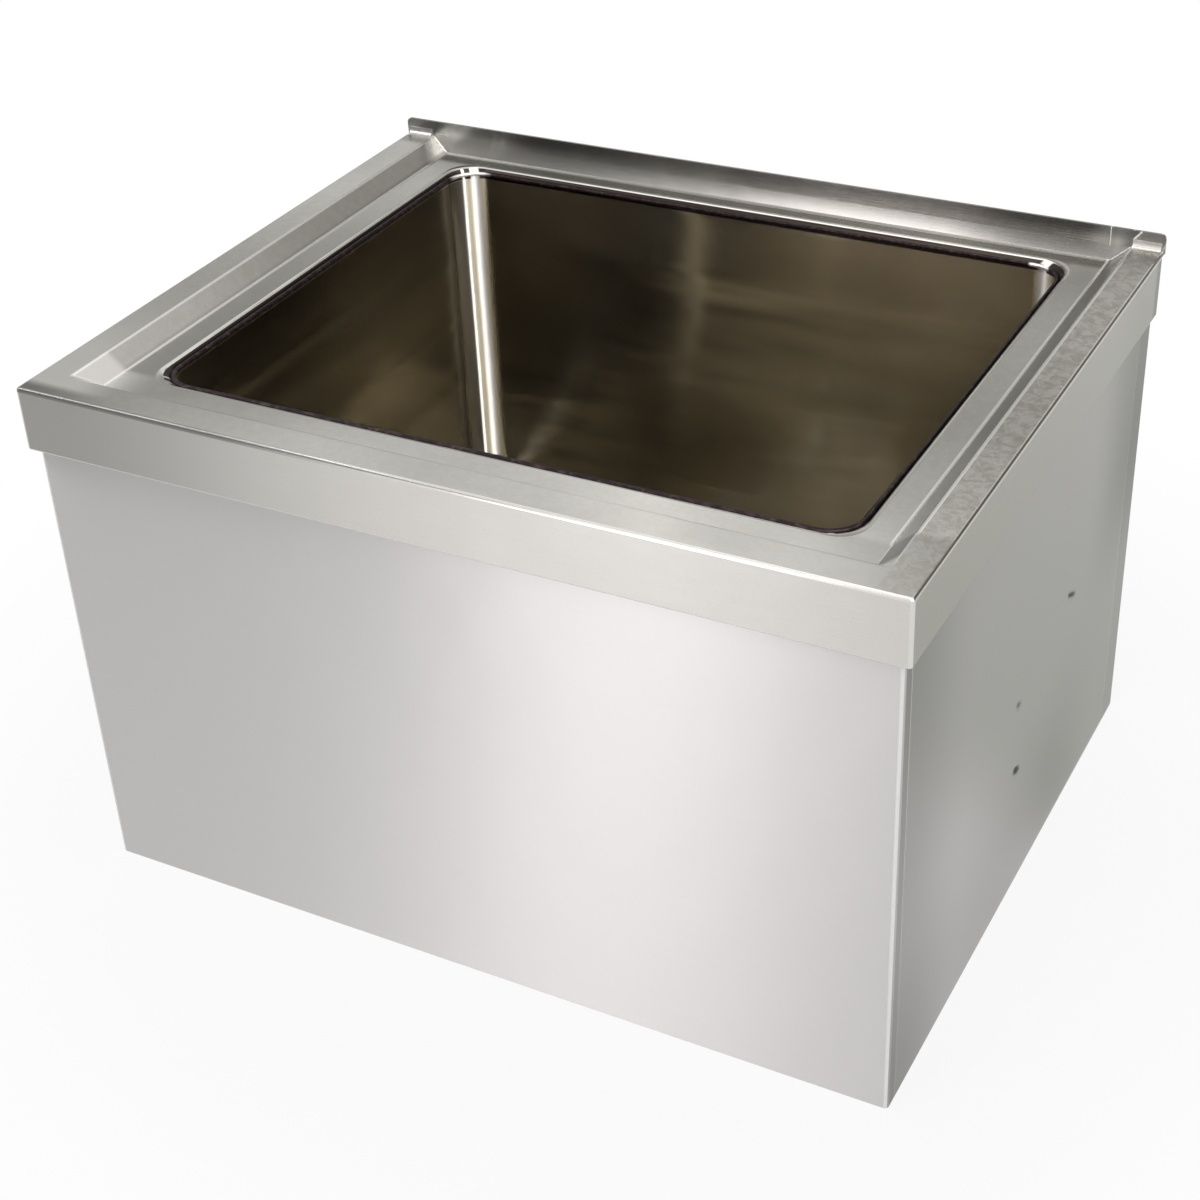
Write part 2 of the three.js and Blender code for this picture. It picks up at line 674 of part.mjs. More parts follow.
// The lift-out strainer: a flat plate with rings of round holes.
function strainerPlate() {
  const low = LEDGE_LEVEL + GAP;
  const high = low + STRAINER_THICKNESS;
  const edge = BODY_BORE - STRAINER_PLAY;
  const plate = new THREE.CylinderGeometry(edge, edge, high - low, TURN_STEPS)
    .rotateX(Math.PI / 2)
    .translate(0, BOWL_MIDDLE_Y, (low + high) / 2);
  const holes = [];
  for (let row = 0; row <= STRAINER_RINGS; row += 1) {
    const count = Math.max(1, 6 * row);
    for (let step = 0; step < count; step += 1) {
      const angle = (2 * Math.PI * step) / count;
      const x = row * STRAINER_PITCH * Math.cos(angle);
      const y = row * STRAINER_PITCH * Math.sin(angle) + BOWL_MIDDLE_Y;
      const hole = new THREE.CylinderGeometry(STRAINER_HOLE, STRAINER_HOLE, CLEAR, HOLE_STEPS);
      holes.push(hole.rotateX(Math.PI / 2).translate(x, y, low));
    }
  }
  return cut(plate, ...holes);
}

const GASKET_TOP = SEAT_UNDERSIDE - GAP;
const WASHER_TOP = GASKET_TOP - GASKET_THICKNESS - GAP;
const LOCKNUT_TOP = WASHER_TOP - WASHER_THICKNESS - GAP;
const AROUND_BODY = BODY_RADIUS + GAP;

function drainLocknut() {
  const low = LOCKNUT_TOP - LOCKNUT_HEIGHT;
  const lugs = Array.from({ length: LOCKNUT_LUGS }, (_, step) => {
    const inside = (AROUND_BODY + LOCKNUT_RADIUS) / 2;
    const lug = block(
      [inside, -LUG_WIDTH / 2, low],
      [LOCKNUT_RADIUS + LUG_REACH, LUG_WIDTH / 2, LOCKNUT_TOP - LUG_DROP],
    );
    return lug.rotateZ((2 * Math.PI * step) / LOCKNUT_LUGS).translate(0, BOWL_MIDDLE_Y, 0);
  });
  return joined(washer(AROUND_BODY, LOCKNUT_RADIUS, low, LOCKNUT_TOP), ...lugs);
}

const SEAL_TOP = OUTLET_FOOT - GAP;
const NUT_LIP_TOP = SEAL_TOP - SEAL_HEIGHT - GAP;
const NUT_FOOT = NUT_LIP_TOP - NUT_LIP;

function outletNut() {
  const bore = OUTLET_RADIUS + GAP;
  const outside = bore + NUT_WALL;
  const top = OUTLET_FOOT + NUT_GRIP;
  const cup = turned([
    [NUT_BORE, NUT_FOOT],
    [outside, NUT_FOOT],
    [outside, top],
    [bore, top],
    [bore, NUT_LIP_TOP],
    [NUT_BORE, NUT_LIP_TOP],
  ]);
  const ribs = Array.from({ length: NUT_RIBS }, (_, step) => {
    const rib = block(
      [outside - RIB_INDENT, -RIB_WIDTH / 2, NUT_FOOT + RIB_INDENT],
      [outside + RIB_REACH, RIB_WIDTH / 2, top - RIB_INDENT],
    );
    return rib.rotateZ((2 * Math.PI * step) / NUT_RIBS).translate(0, BOWL_MIDDLE_Y, 0);
  });
  return joined(cup, ...ribs);
}

// ---------------------------------------------------------------- assembly

const group = new THREE.Group();

// Puts the origin at the middle of the whole outline, lip included.
function place(name, geometry, material) {
  const mesh = new THREE.Mesh(geometry.translate(0, -LIP_SETBACK / 2, 0), material);
  mesh.name = name;
  group.add(mesh);
}

place('deck', deck(), deckSteel);
place('bowl', bowl(), bowlSteel);

place('skirt_front', facePanel(-1, SKIRT_TOP), skirtSteel);
place('skirt_rear', facePanel(1, REAR_SKIRT_TOP), skirtSteel);
place('skirt_left', sidePanel(-1), skirtSteel);
place('skirt_right', sidePanel(1), skirtSteel);

for (const [end, sideY] of [['front', -1], ['rear', 1]]) {
  for (const [hand, sideX] of [['left', -1], ['right', 1]]) {
    place(`corner_post_${end}_${hand}`, cornerPost(sideX, sideY), plainSteel);
  }
  place(`support_channel_${end}`, supportChannel(sideY), plainSteel);
  place(`support_pad_${end}`, supportPad(sideY), rubber);
}
for (const [hand, sideX] of [['left', -1], ['right', 1]]) {
  place(`side_stiffener_${hand}`, sideStiffener(sideX), plainSteel);
  place(`sound_pad_${hand}`, soundPadOnShortWall(sideX), damping);
}
place('sound_pad_front', soundPadOnLongWall(BOWL_FRONT, -1), damping);
place('sound_pad_rear', soundPadOnLongWall(BOWL_BACK, 1), damping);

place('drain_body', drainBody(), polishedSteel);
place('strainer_plate', strainerPlate(), polishedSteel);
place('drain_gasket', washer(AROUND_BODY, GASKET_RADIUS, WASHER_TOP + GAP, GASKET_TOP), rubber);
place('friction_washer', washer(AROUND_BODY, WASHER_RADIUS, LOCKNUT_TOP + GAP, WASHER_TOP), fibre);
place('drain_locknut', drainLocknut(), brass);
place('outlet_seal', washer(SEAL_BORE, OUTLET_RADIUS - GAP, SEAL_TOP - SEAL_HEIGHT, SEAL_TOP), rubber);
place('outlet_nut', outletNut(), brass);

export default group;
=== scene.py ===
"""Dresses a floor-standing stainless steel mop sink around its fixed frame.

Deck, bowl, base and drain get rounded sheet edges, spot-weld dents, welds, threads and perforations,
and every surface gets its finish. Metres, +Z up, front towards -Y.
"""

import functools
import math
from types import SimpleNamespace

import bmesh
import bpy
from bpy.props import FloatProperty, FloatVectorProperty, IntProperty, PointerProperty
from mathutils import Matrix, Vector


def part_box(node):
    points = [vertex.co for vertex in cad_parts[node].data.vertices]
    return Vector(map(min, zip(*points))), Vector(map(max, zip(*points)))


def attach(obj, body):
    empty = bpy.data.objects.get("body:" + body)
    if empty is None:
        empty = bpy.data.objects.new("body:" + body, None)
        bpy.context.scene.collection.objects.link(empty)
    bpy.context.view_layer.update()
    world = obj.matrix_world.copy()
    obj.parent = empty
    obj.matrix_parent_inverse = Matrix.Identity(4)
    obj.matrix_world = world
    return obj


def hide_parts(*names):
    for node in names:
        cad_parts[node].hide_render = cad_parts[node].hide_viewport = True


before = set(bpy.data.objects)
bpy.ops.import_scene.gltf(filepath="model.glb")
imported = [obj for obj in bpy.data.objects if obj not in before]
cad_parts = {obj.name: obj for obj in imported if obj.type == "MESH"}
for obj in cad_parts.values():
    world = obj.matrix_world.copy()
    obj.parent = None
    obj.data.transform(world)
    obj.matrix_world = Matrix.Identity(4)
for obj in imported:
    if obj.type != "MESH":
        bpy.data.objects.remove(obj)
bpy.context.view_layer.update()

bl_info = {
    "name": "Mop service sink",
    "version": (1, 0, 0),
    "blender": (4, 5, 0),
    "location": "3D View > Sidebar > Mop sink",
    "description": "Builds the finished surfaces of a stainless steel mop sink around its frame",
    "category": "Object",
}

MM = 0.001

# ---------------------------------------------------------------- places, from the frame

SINK = "sink"
STRAINER = "strainer"

DECK_LOW, DECK_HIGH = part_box("deck")
BOWL_LOW, BOWL_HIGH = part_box("bowl")
LIP_RISE = 12.7 * MM
RIM_LEVEL = DECK_HIGH.z - LIP_RISE
DECK_LEVEL = RIM_LEVEL - 12 * MM
LIP_FACE = DECK_HIGH.y - 1.9 * MM
SLOPE_START = DECK_HIGH.x - 23 * MM
SLOPE_FOOT = SLOPE_START - 16.4 * MM
SEAM_LEVEL = DECK_LEVEL - 12 * MM
ROLL_RADIUS = 6 * MM
ROLL_BRIGHT = 1.2 * MM  # height of the part of the roll that is rubbed bright
WELD_LEVEL = DECK_LEVEL - 8 * MM  # of the ground weld round the collar

BOWL_SHEET = 1.5 * MM
BOWL_RIGHT = BOWL_HIGH.x - BOWL_SHEET
BOWL_FRONT = BOWL_LOW.y + BOWL_SHEET
BOWL_BACK = BOWL_HIGH.y - BOWL_SHEET
BOWL_MIDDLE = (BOWL_FRONT + BOWL_BACK) / 2
BOWL_FLOOR = DECK_LEVEL - 305 * MM
BOWL_FALL = 4 * MM
DRAIN_FLOOR = BOWL_FLOOR - BOWL_FALL
BOWL_CORNER = 25 * MM
BOWL_COVE = 12 * MM
SEAT_RADIUS = 57 * MM
SEAT_DEPTH = 3 * MM
BOWL_HOLE = 45.5 * MM

SKIRT_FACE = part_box("skirt_right")[1].x
BODY_LOW, BODY_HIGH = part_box("drain_body")
STRAINER_LOW, STRAINER_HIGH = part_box("strainer_plate")
LOCKNUT_LOW, LOCKNUT_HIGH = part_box("drain_locknut")
NUT_LOW, NUT_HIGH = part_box("outlet_nut")
DRAIN_AXIS = Vector((0, BOWL_MIDDLE, 0))

# Spot welds of the side panels' stiffeners: y, z, half length, half height, darkness of the burn.
SPOT_WELDS = (
    (98.8 * MM, 195.5 * MM, 12 * MM, 2.2 * MM, 0.8),
    (-13.2 * MM, 172 * MM, 4.5 * MM, 2 * MM, 0.4),
    (-7.4 * MM, 112 * MM, 8.5 * MM, 3.6 * MM, 0.85),
)
SPOT_ALONG = (0.894, -0.447)  # direction of their length in y and z


# ---------------------------------------------------------------- settings


def length(name, description, default):
    return FloatProperty(name=name, description=description, default=default, min=0, unit="LENGTH")


def tint(name, description, default):
    return FloatVectorProperty(name=name, description=description, default=default, subtype="COLOR")


class SinkSettings(bpy.types.PropertyGroup):
    """Sizes and colours that a user of this sink may change."""

    edge: length("Edge rounding", "Radius of cut and ground sheet edges", 0.35 * MM)
    corner_steps: IntProperty(
        name="Corner steps", description="Steps in the bowl's corners and coves", default=16, min=4
    )
    dent_radius: length("Dent radius", "Reach of the hollow round a spot weld", 7 * MM)
    dent_depth: length("Dent depth", "Depth of the hollow at a spot weld", 0.5 * MM)
    hole_radius: length("Strainer hole radius", "Radius of the strainer's perforations", 3.2 * MM)
    weld_width: length("Weld width", "Width of the ground welds on the tile lip", 1.5 * MM)
    deck_colour: tint("Deck steel", "Colour of the deck's brushed steel", (0.60, 0.585, 0.555))
    panel_colour: tint("Panel steel", "Colour of the base panels' satin steel", (0.65, 0.635, 0.63))
    # the bowl's steel is dark brown: painted shade for the dim inside of the bowl
    bowl_colour_painted_dark: tint("Bowl steel", "Colour of the bowl's drawn steel", (0.36, 0.322, 0.25))
    floor_colour: tint("Floor", "Colour of the studio floor", (0.8, 0.8, 0.8))


def settings():
    return bpy.context.scene.sink_settings


# ---------------------------------------------------------------- node wiring


METAL = {"Metallic": 1.0}


class Value:
    """A socket in a node tree. Arithmetic on it adds Math nodes."""

    def __init__(self, wiring, socket):
        self.wiring = wiring
        self.socket = socket

    def __add__(self, other):
        return self.wiring.maths("ADD", self, other)

    def __sub__(self, other):
        return self.wiring.maths("SUBTRACT", self, other)

    def __rsub__(self, other):
        return self.wiring.maths("SUBTRACT", other, self)

    def __mul__(self, other):
        return self.wiring.maths("MULTIPLY", self, other)

    def __abs__(self):
        return self.wiring.maths("ABSOLUTE", self)

    __radd__ = __add__
    __rmul__ = __mul__


class Wiring:
    """Adds nodes to a tree, with their settings first and then their inputs."""

    def __init__(self, tree):
        self.tree = tree

    def node(self, kind, options=None, inputs=None, output=0):
        made = self.tree.nodes.new(kind)
        for name, value in (options or {}).items():
            setattr(made, name, value)
        for key, value in (inputs or {}).items():
            self.feed(made.inputs[key], value)
        return Value(self, made.outputs[output]) if made.outputs else None

    def feed(self, socket, value):
        if isinstance(value, Value):
            self.tree.links.new(value.socket, socket)
        else:
            socket.default_value = value

    def maths(self, operation, *values):
        return self.node("ShaderNodeMath", {"operation": operation}, dict(enumerate(values)))

    def vector(self, x=0.0, y=0.0, z=0.0):
        return self.node("ShaderNodeCombineXYZ", None, {0: x, 1: y, 2: z})

    def parts(self, vector):
        split = self.node("ShaderNodeSeparateXYZ", None, {0: vector}).socket.node
        return [Value(self, socket) for socket in split.outputs]

    def smooth(self, value, low, high, at_low=0.0, at_high=1.0):
        """A smooth step from at_low to at_high as value goes from low to high."""
        return self.node(
            "ShaderNodeMapRange",
            {"interpolation_type": "SMOOTHSTEP"},
            {"Value": value, "From Min": low, "From Max": high, "To Min": at_low, "To Max": at_high},
        )

    def falls(self, value, low, high, at_low=1.0):
        """A smooth step from at_low down to 0."""
        return self.smooth(value, low, high, at_low, 0.0)

    def most(self, first, second):
        return self.maths("MAXIMUM", first, second)


class Paint(Wiring):
    """A material built from nodes."""

    def __init__(self, name):
        self.material = bpy.data.materials.new(name)
        self.material.use_nodes = True
        super().__init__(self.material.node_tree)
        self.tree.nodes.clear()

    def place(self):
        """Object coordinates, in metres."""
        return self.node("ShaderNodeTexCoord", output="Object")

    def marked(self, name):
        """A value that the mesh carries."""
        return self.node("ShaderNodeAttribute", {"attribute_name": name}, output="Fac")

    def noise(self, vector, scale, detail=2.0, roughness=0.5, distortion=0.0):
        names = ("Vector", "Scale", "Detail", "Roughness", "Distortion")
        inputs = dict(zip(names, (vector, scale, detail, roughness, distortion)))
        return self.node("ShaderNodeTexNoise", None, inputs, "Fac")

    def streaks(self, x, y, z, *noise_values):
        """Noise over stretched coordinates."""
        return self.noise(self.vector(x, y, z), 1.0, *noise_values)

    def blend(self, factor, first, second):
        """Colours, mixed by a value."""
        made = self.tree.nodes.new("ShaderNodeMix")
        made.data_type = "RGBA"
        made.clamp_factor = True
        self.feed(made.inputs["Factor"], factor)
        colours = [socket for socket in made.inputs if socket.type == "RGBA"]
        for socket, colour in zip(colours, (first, second)):
            self.feed(socket, colour if isinstance(colour, Value) else (*colour, 1))
        return Value(self, [socket for socket in made.outputs if socket.type == "RGBA"][0])

    def coated(self, base, *coats):
        """A colour under coats, each the value of its cover and its colour."""
        for cover, colour in coats:
            base = self.blend(cover, base, colour)
        return base

    def mix(self, factor, first, second):
        """Values, mixed by a value."""
        return first + factor * (second - first)

    def bump(self, height, distance, normal=None):
        inputs = {"Height": height, "Distance": distance}
        if normal is not None:
            inputs["Normal"] = normal
        return self.node("ShaderNodeBump", None, inputs)

    def surface(self, colour, rough, normal, constants=METAL):
        """The finished shader."""
        links = {"Base Color": colour, "Roughness": rough, "Normal": normal}
        shader = self.node("ShaderNodeBsdfPrincipled", None, {**constants, **links})
        self.node("ShaderNodeOutputMaterial", None, {"Surface": shader})
        return self.material


def scaled(colour, factor):
    return tuple(channel * factor for channel in colour)


# ---------------------------------------------------------------- finishes

GRAIN_ACROSS = 2200.0  # lines to the metre, across the brushing
GRAIN_ALONG = 18.0  # the same along it
CLOUD = 9.0  # soft patches to the metre
BEND_ROUGHNESS = 0.17
# Brushing runs round the sink, so it spreads light a quarter of a turn from that.
BRUSHED = {"Metallic": 1.0, "Anisotropic": 1.0, "Anisotropic Rotation": 0.25}


def wall_grain(paint, x, y, z):
    """Level brushing on upright faces: lines that run along x or y."""
    return paint.streaks((x + y) * GRAIN_ALONG, 0.0, z * GRAIN_ACROSS, 3.0, 0.6)


def top_grain(paint, x, y):
    """Brushing on level faces: along x at front and back, along y on the two sides."""
    front = paint.streaks(x * GRAIN_ALONG, y * GRAIN_ACROSS, 0.0, 3.0, 0.6)
    side = paint.streaks(x * GRAIN_ACROSS, y * GRAIN_ALONG, 0.0, 3.0, 0.6)
    on_side = paint.smooth(abs(x), BOWL_RIGHT, BOWL_RIGHT + 3 * MM)
    behind_front = paint.smooth(y, BOWL_FRONT - 42 * MM, BOWL_FRONT - 38 * MM)
    return paint.mix(on_side * behind_front, front, side)


def hairlines(paint, place, scale, width):
    """Thin curved scratches: where a noise crosses its middle value."""
    wander = paint.noise(place, scale, 2.0, 0.5, 1.5)
    patches = paint.smooth(paint.noise(place, scale * 0.7, 2.0), 0.5, 0.58)
    return paint.falls(abs(wander - 0.5), 0.0, width) * patches


def deck_zones(paint, x, y, z, level):
    """Where on the deck a point lies, each as a value from 0 to 1."""
    smooth, falls = paint.smooth, paint.falls
    behind_front = smooth(y, BOWL_FRONT - 4 * MM, BOWL_FRONT + 4 * MM)
    at_back = smooth(y, BOWL_BACK, BOWL_BACK + 8 * MM)
    slope = smooth(x, SLOPE_FOOT + 0.8 * MM, SLOPE_FOOT + 2 * MM)
    slope = slope * falls(x, SLOPE_START - 2 * MM, SLOPE_START - 0.8 * MM)
    return SimpleNamespace(
        upright=1 - level,
        behind_front=behind_front,
        at_back=at_back,
        front_rim=(1 - behind_front) * level,
        left_rim=falls(x, -SLOPE_START - 1 * MM, -SLOPE_START + 1 * MM) * level * behind_front,
        right_rim=smooth(x, SLOPE_START - 2 * MM, SLOPE_START + 1 * MM) * level,
        right_inner=smooth(x, BOWL_RIGHT - 4 * MM, BOWL_RIGHT + 4 * MM),
        sunk=falls(z, DECK_LEVEL + 0.5 * MM, DECK_LEVEL + 3 * MM) * level * behind_front,
        wallward=smooth(y, BOWL_BACK - 115 * MM, BOWL_BACK - 10 * MM),
        near_front=falls(y, DECK_LOW.y + 6 * MM, DECK_LOW.y + 16 * MM),
        lip_top=smooth(z, RIM_LEVEL + 1 * MM, DECK_HIGH.z - 2 * MM) * at_back,
        lip_end=paint.most(falls(x, -200 * MM, -60 * MM), smooth(x, 150 * MM, 215 * MM)),
        slope=slope * smooth(y, BOWL_FRONT - 33 * MM, BOWL_FRONT - 24 * MM) * level,
    )


def deck_painted_shade(paint, x, y, at):
    """How far painted shade dims the deck, at its zones."""
    smooth, falls = paint.smooth, paint.falls
    lip = at.upright * smooth(y, BOWL_BACK, BOWL_BACK + 10 * MM)
    apron = at.upright * falls(y, DECK_LOW.y + 3 * MM, DECK_LOW.y + 6 * MM)
    side_apron = at.upright * smooth(x, DECK_HIGH.x - 3 * MM, DECK_HIGH.x - 1 * MM)
    left_end = at.near_front * falls(x, -DECK_HIGH.x, -220 * MM, 0.5)
    dim = at.front_rim * (0.15 + smooth(x, 60 * MM, 200 * MM, 0.0, 0.13) + left_end)
    dim = dim + at.left_rim * at.wallward * 0.42
    dim = dim + at.sunk * (1 - at.at_back) * at.wallward * (1 - at.right_inner) * 0.3
    dim = dim + at.slope * 0.6 + lip * (0.13 + at.lip_end * 0.42) + at.lip_top * at.lip_end * 0.3
    return dim + apron * falls(x, -290 * MM, -40 * MM, 0.48) + side_apron * at.wallward * 0.14


def deck_steel():
    """Brushed sheet, handled and scratched, rubbed bright along its bends; painted shade and light in
    places.
    """
    colour = settings().deck_colour
    paint = Paint("deck_steel")
    smooth, falls = paint.smooth, paint.falls
    place = paint.place()
    x, y, z = paint.parts(place)
    facing = paint.parts(paint.node("ShaderNodeNewGeometry", output="Normal"))
    level = smooth(abs(facing[2]), 0.5, 0.8)
    at = deck_zones(paint, x, y, z, level)
    grain = paint.mix(level, wall_grain(paint, x, y, z), top_grain(paint, x, y))
    cloud = paint.noise(place, CLOUD, 3.0, 0.6)
    smudge = paint.noise(place, 120.0, 8.0, 0.8, 0.5)
    speck = paint.noise(place, 700.0, 2.0, 0.6)
    handled = level * (0.4 + at.right_rim * 0.6)
    blotch = smooth(smudge, 0.42, 0.58) * handled
    scratch = hairlines(paint, place, 38.0, 0.008) * handled
    inner_crease = smooth(y, DECK_LOW.y + 6 * MM, DECK_LOW.y + 10 * MM) * at.front_rim
    worn = paint.marked("worn") * (1 - inner_crease)
    bend = smooth(z, RIM_LEVEL - 3.5 * MM, RIM_LEVEL - 2.5 * MM)
    bend = bend * falls(y, DECK_LOW.y + 2.2 * MM, DECK_LOW.y + 3 * MM)
    dull_bend_painted_dark = bend * falls(x, -170 * MM, -20 * MM)
    painted_crease_lines = [falls(abs(x - crease), 0.5 * MM, 1.3 * MM) for crease in (SLOPE_START, SLOPE_FOOT)]
    sunk_painted_shade = 0.5 + at.at_back * 0.45 - at.right_inner * (1 - at.at_back) * 0.38
    back_deck_painted_shade = at.at_back * (0.7 - smooth(x, 60 * MM, 240 * MM) * 0.25)
    left_end = at.front_rim * (1 - at.near_front) * falls(x, -285 * MM, -245 * MM)
    left_rim_painted_light = at.left_rim * falls(y, DECK_LOW.y, -60 * MM, 0.95) + left_end * 0.95
    shade = 0.5 + (grain - 0.5) * 0.7 + (cloud - 0.5) * 0.5 + (speck - 0.5) * 0.5 + scratch * 0.5
    finished = paint.coated(
        paint.blend(shade, scaled(colour, 0.86), scaled(colour, 1.1)),
        (blotch * (0.5 + at.right_rim * 0.3), (0.40, 0.385, 0.33)),
        # painted shade on the sunk deck, deeper at the back and lighter along the right side
        (at.sunk * sunk_painted_shade, (0.30, 0.29, 0.265)),
        # more painted shade on the sunk deck at the back, less towards the right
        (at.sunk * back_deck_painted_shade, (0.13, 0.125, 0.11)),
        # painted shade on the top of the tile lip
        (at.lip_top * 0.6, (0.2, 0.195, 0.19)),
        # painted light on the left rim towards the front, and on the left end of the front rim
        (left_rim_painted_light, (0.97, 0.95, 0.92)),
        # painted shade on the front rim, the left rim, the sunk deck, the slope, the tile lip and the
        # aprons
        (deck_painted_shade(paint, x, y, at), (0.12, 0.12, 0.115)),
        (worn * 0.7, scaled(colour, 1.15)),
        # the left part of the front bend: painted shade over its highlight, and left unsmoothed
        (dull_bend_painted_dark * 0.7, (0.1, 0.1, 0.1)),
        # painted highlight lines along the slope's crest and toe
        (paint.most(*painted_crease_lines) * at.behind_front * level * 0.85, (0.98, 0.97, 0.95)),
    )
    rough = paint.mix(at.at_back, 0.35, 0.26) + (cloud - 0.5) * 0.12
    rough = rough + (grain - 0.5) * 0.08 + (smudge - 0.5) * handled * 0.3
    smoothed = paint.mix(worn * (1 - dull_bend_painted_dark), rough, BEND_ROUGHNESS)
    waved = paint.bump(cloud, 0.35 * MM, paint.bump(grain, 0.008 * MM))
    normal = paint.bump(scratch, 0.03 * MM, waved)
    return paint.surface(finished, smoothed, normal, {**BRUSHED, "Anisotropic": 0.9})


def rolled_steel():
    """The opening's rolled edge: stretched smooth, with slight waves along it."""
    colour = settings().deck_colour
    paint = Paint("rolled_steel")
    place = paint.place()
    wave = paint.noise(place, 26.0, 3.0, 0.55)
    fine = paint.noise(place, 600.0, 3.0, 0.6)
    base = paint.blend(0.5 + (wave - 0.5) * 1.4, scaled(colour, 0.95), scaled(colour, 1.2))
    rough = 0.13 + (wave - 0.5) * 0.08 + (fine - 0.5) * 0.06
    return paint.surface(base, rough, paint.bump(wave, 0.5 * MM))


def spot_burns(paint, place, y, z):
    """The burns on the spot welds, ragged at their edges."""
    ragged = (paint.noise(place, 420.0) - 0.5) * 1.8
    burn = 0.0
    for spot_y, spot_z, half_length, half_height, darkness in SPOT_WELDS:
        off_y, off_z = y - spot_y, z - spot_z
        along = (off_y * SPOT_ALONG[0] + off_z * SPOT_ALONG[1]) * (1 / half_length)
        up = (off_z * SPOT_ALONG[0] - off_y * SPOT_ALONG[1]) * (1 / half_height)
        burn = burn + paint.falls(along * along + up * up + ragged, 0.1, 1.2, darkness)
    return burn


def skirt_steel():
    """Fine satin sheet on the base panels, level brushing, almost flat, burnt at the spot welds, with
    painted shade on the right panel.
    """
    colour = settings().panel_colour
    paint = Paint("skirt_steel")
    smooth, falls = paint.smooth, paint.falls
    place = paint.place()
    x, y, z = paint.parts(place)
    grain = wall_grain(paint, x, y, z)
    cloud = paint.noise(place, 5.0, 3.0, 0.55)
    speck = paint.noise(place, 900.0, 2.0, 0.6)
    worn = paint.marked("worn")
    on_right = smooth(x, SKIRT_FACE - 1 * MM, SKIRT_FACE - 0.3 * MM)
    on_side = smooth(abs(x), SKIRT_FACE - 1 * MM, SKIRT_FACE - 0.3 * MM)
    near_front = falls(y, DECK_LOW.y, -110 * MM, 0.42)
    near_floor = falls(z, 0.0, 170 * MM, 0.32) * falls(y, 60 * MM, 200 * MM)
    near_wall = smooth(y, 120 * MM, 235 * MM, 0.0, 0.5) * smooth(z, 120 * MM, 260 * MM)
    shade = 0.5 + (grain - 0.5) * 0.5 + (cloud - 0.5) * 0.35 + (speck - 0.5) * 0.5 + worn * 0.3
    finished = paint.coated(
        paint.blend(shade, scaled(colour, 0.92), scaled(colour, 1.07)),
        # painted shade on the right panel towards its front, its foot and its back
        (on_right * (near_front + near_floor + near_wall), (0.2, 0.2, 0.19)),
        (spot_burns(paint, place, y, z) * on_side, (0.10, 0.075, 0.055)),
    )
    rough = 0.40 + (cloud - 0.5) * 0.06 + (grain - 0.5) * 0.06 + paint.marked("pit") * 0.3 - worn * 0.15
    normal = paint.bump(cloud, 0.8 * MM, paint.bump(grain, 0.004 * MM))
    return paint.surface(finished, rough, normal, BRUSHED)


def corners_and_painted_streaks(paint, x, y, z):
    """The bowl's corners, and the upright painted highlight streaks in them."""
    half = (BOWL_BACK - BOWL_FRONT) / 2
    off_middle = abs(y - BOWL_MIDDLE)
    across = paint.smooth(abs(x), BOWL_RIGHT - BOWL_CORNER, BOWL_RIGHT - BOWL_CORNER * 0.7)
    along = paint.smooth(off_middle, half - BOWL_CORNER, half - BOWL_CORNER * 0.7)
    outward = (off_middle - half) - (abs(x) - BOWL_RIGHT)
    turn = 0.5 + outward * (0.5 / BOWL_CORNER)  # 0 at the side wall to 1 at the front or back
    ragged = turn + (paint.streaks(x * 30.0, y * 30.0, z * 9.0, 3.0) - 0.5) * 0.05
    on_right = paint.smooth(x, -10 * MM, 10 * MM)
    narrow = paint.falls(abs(ragged - 0.45), 0.015, 0.05) * (1 - on_right)
    wide = paint.falls(abs(ragged - (0.71 + on_right * 0.12)), 0.07, 0.12)
    return across * along, paint.most(narrow, wide)


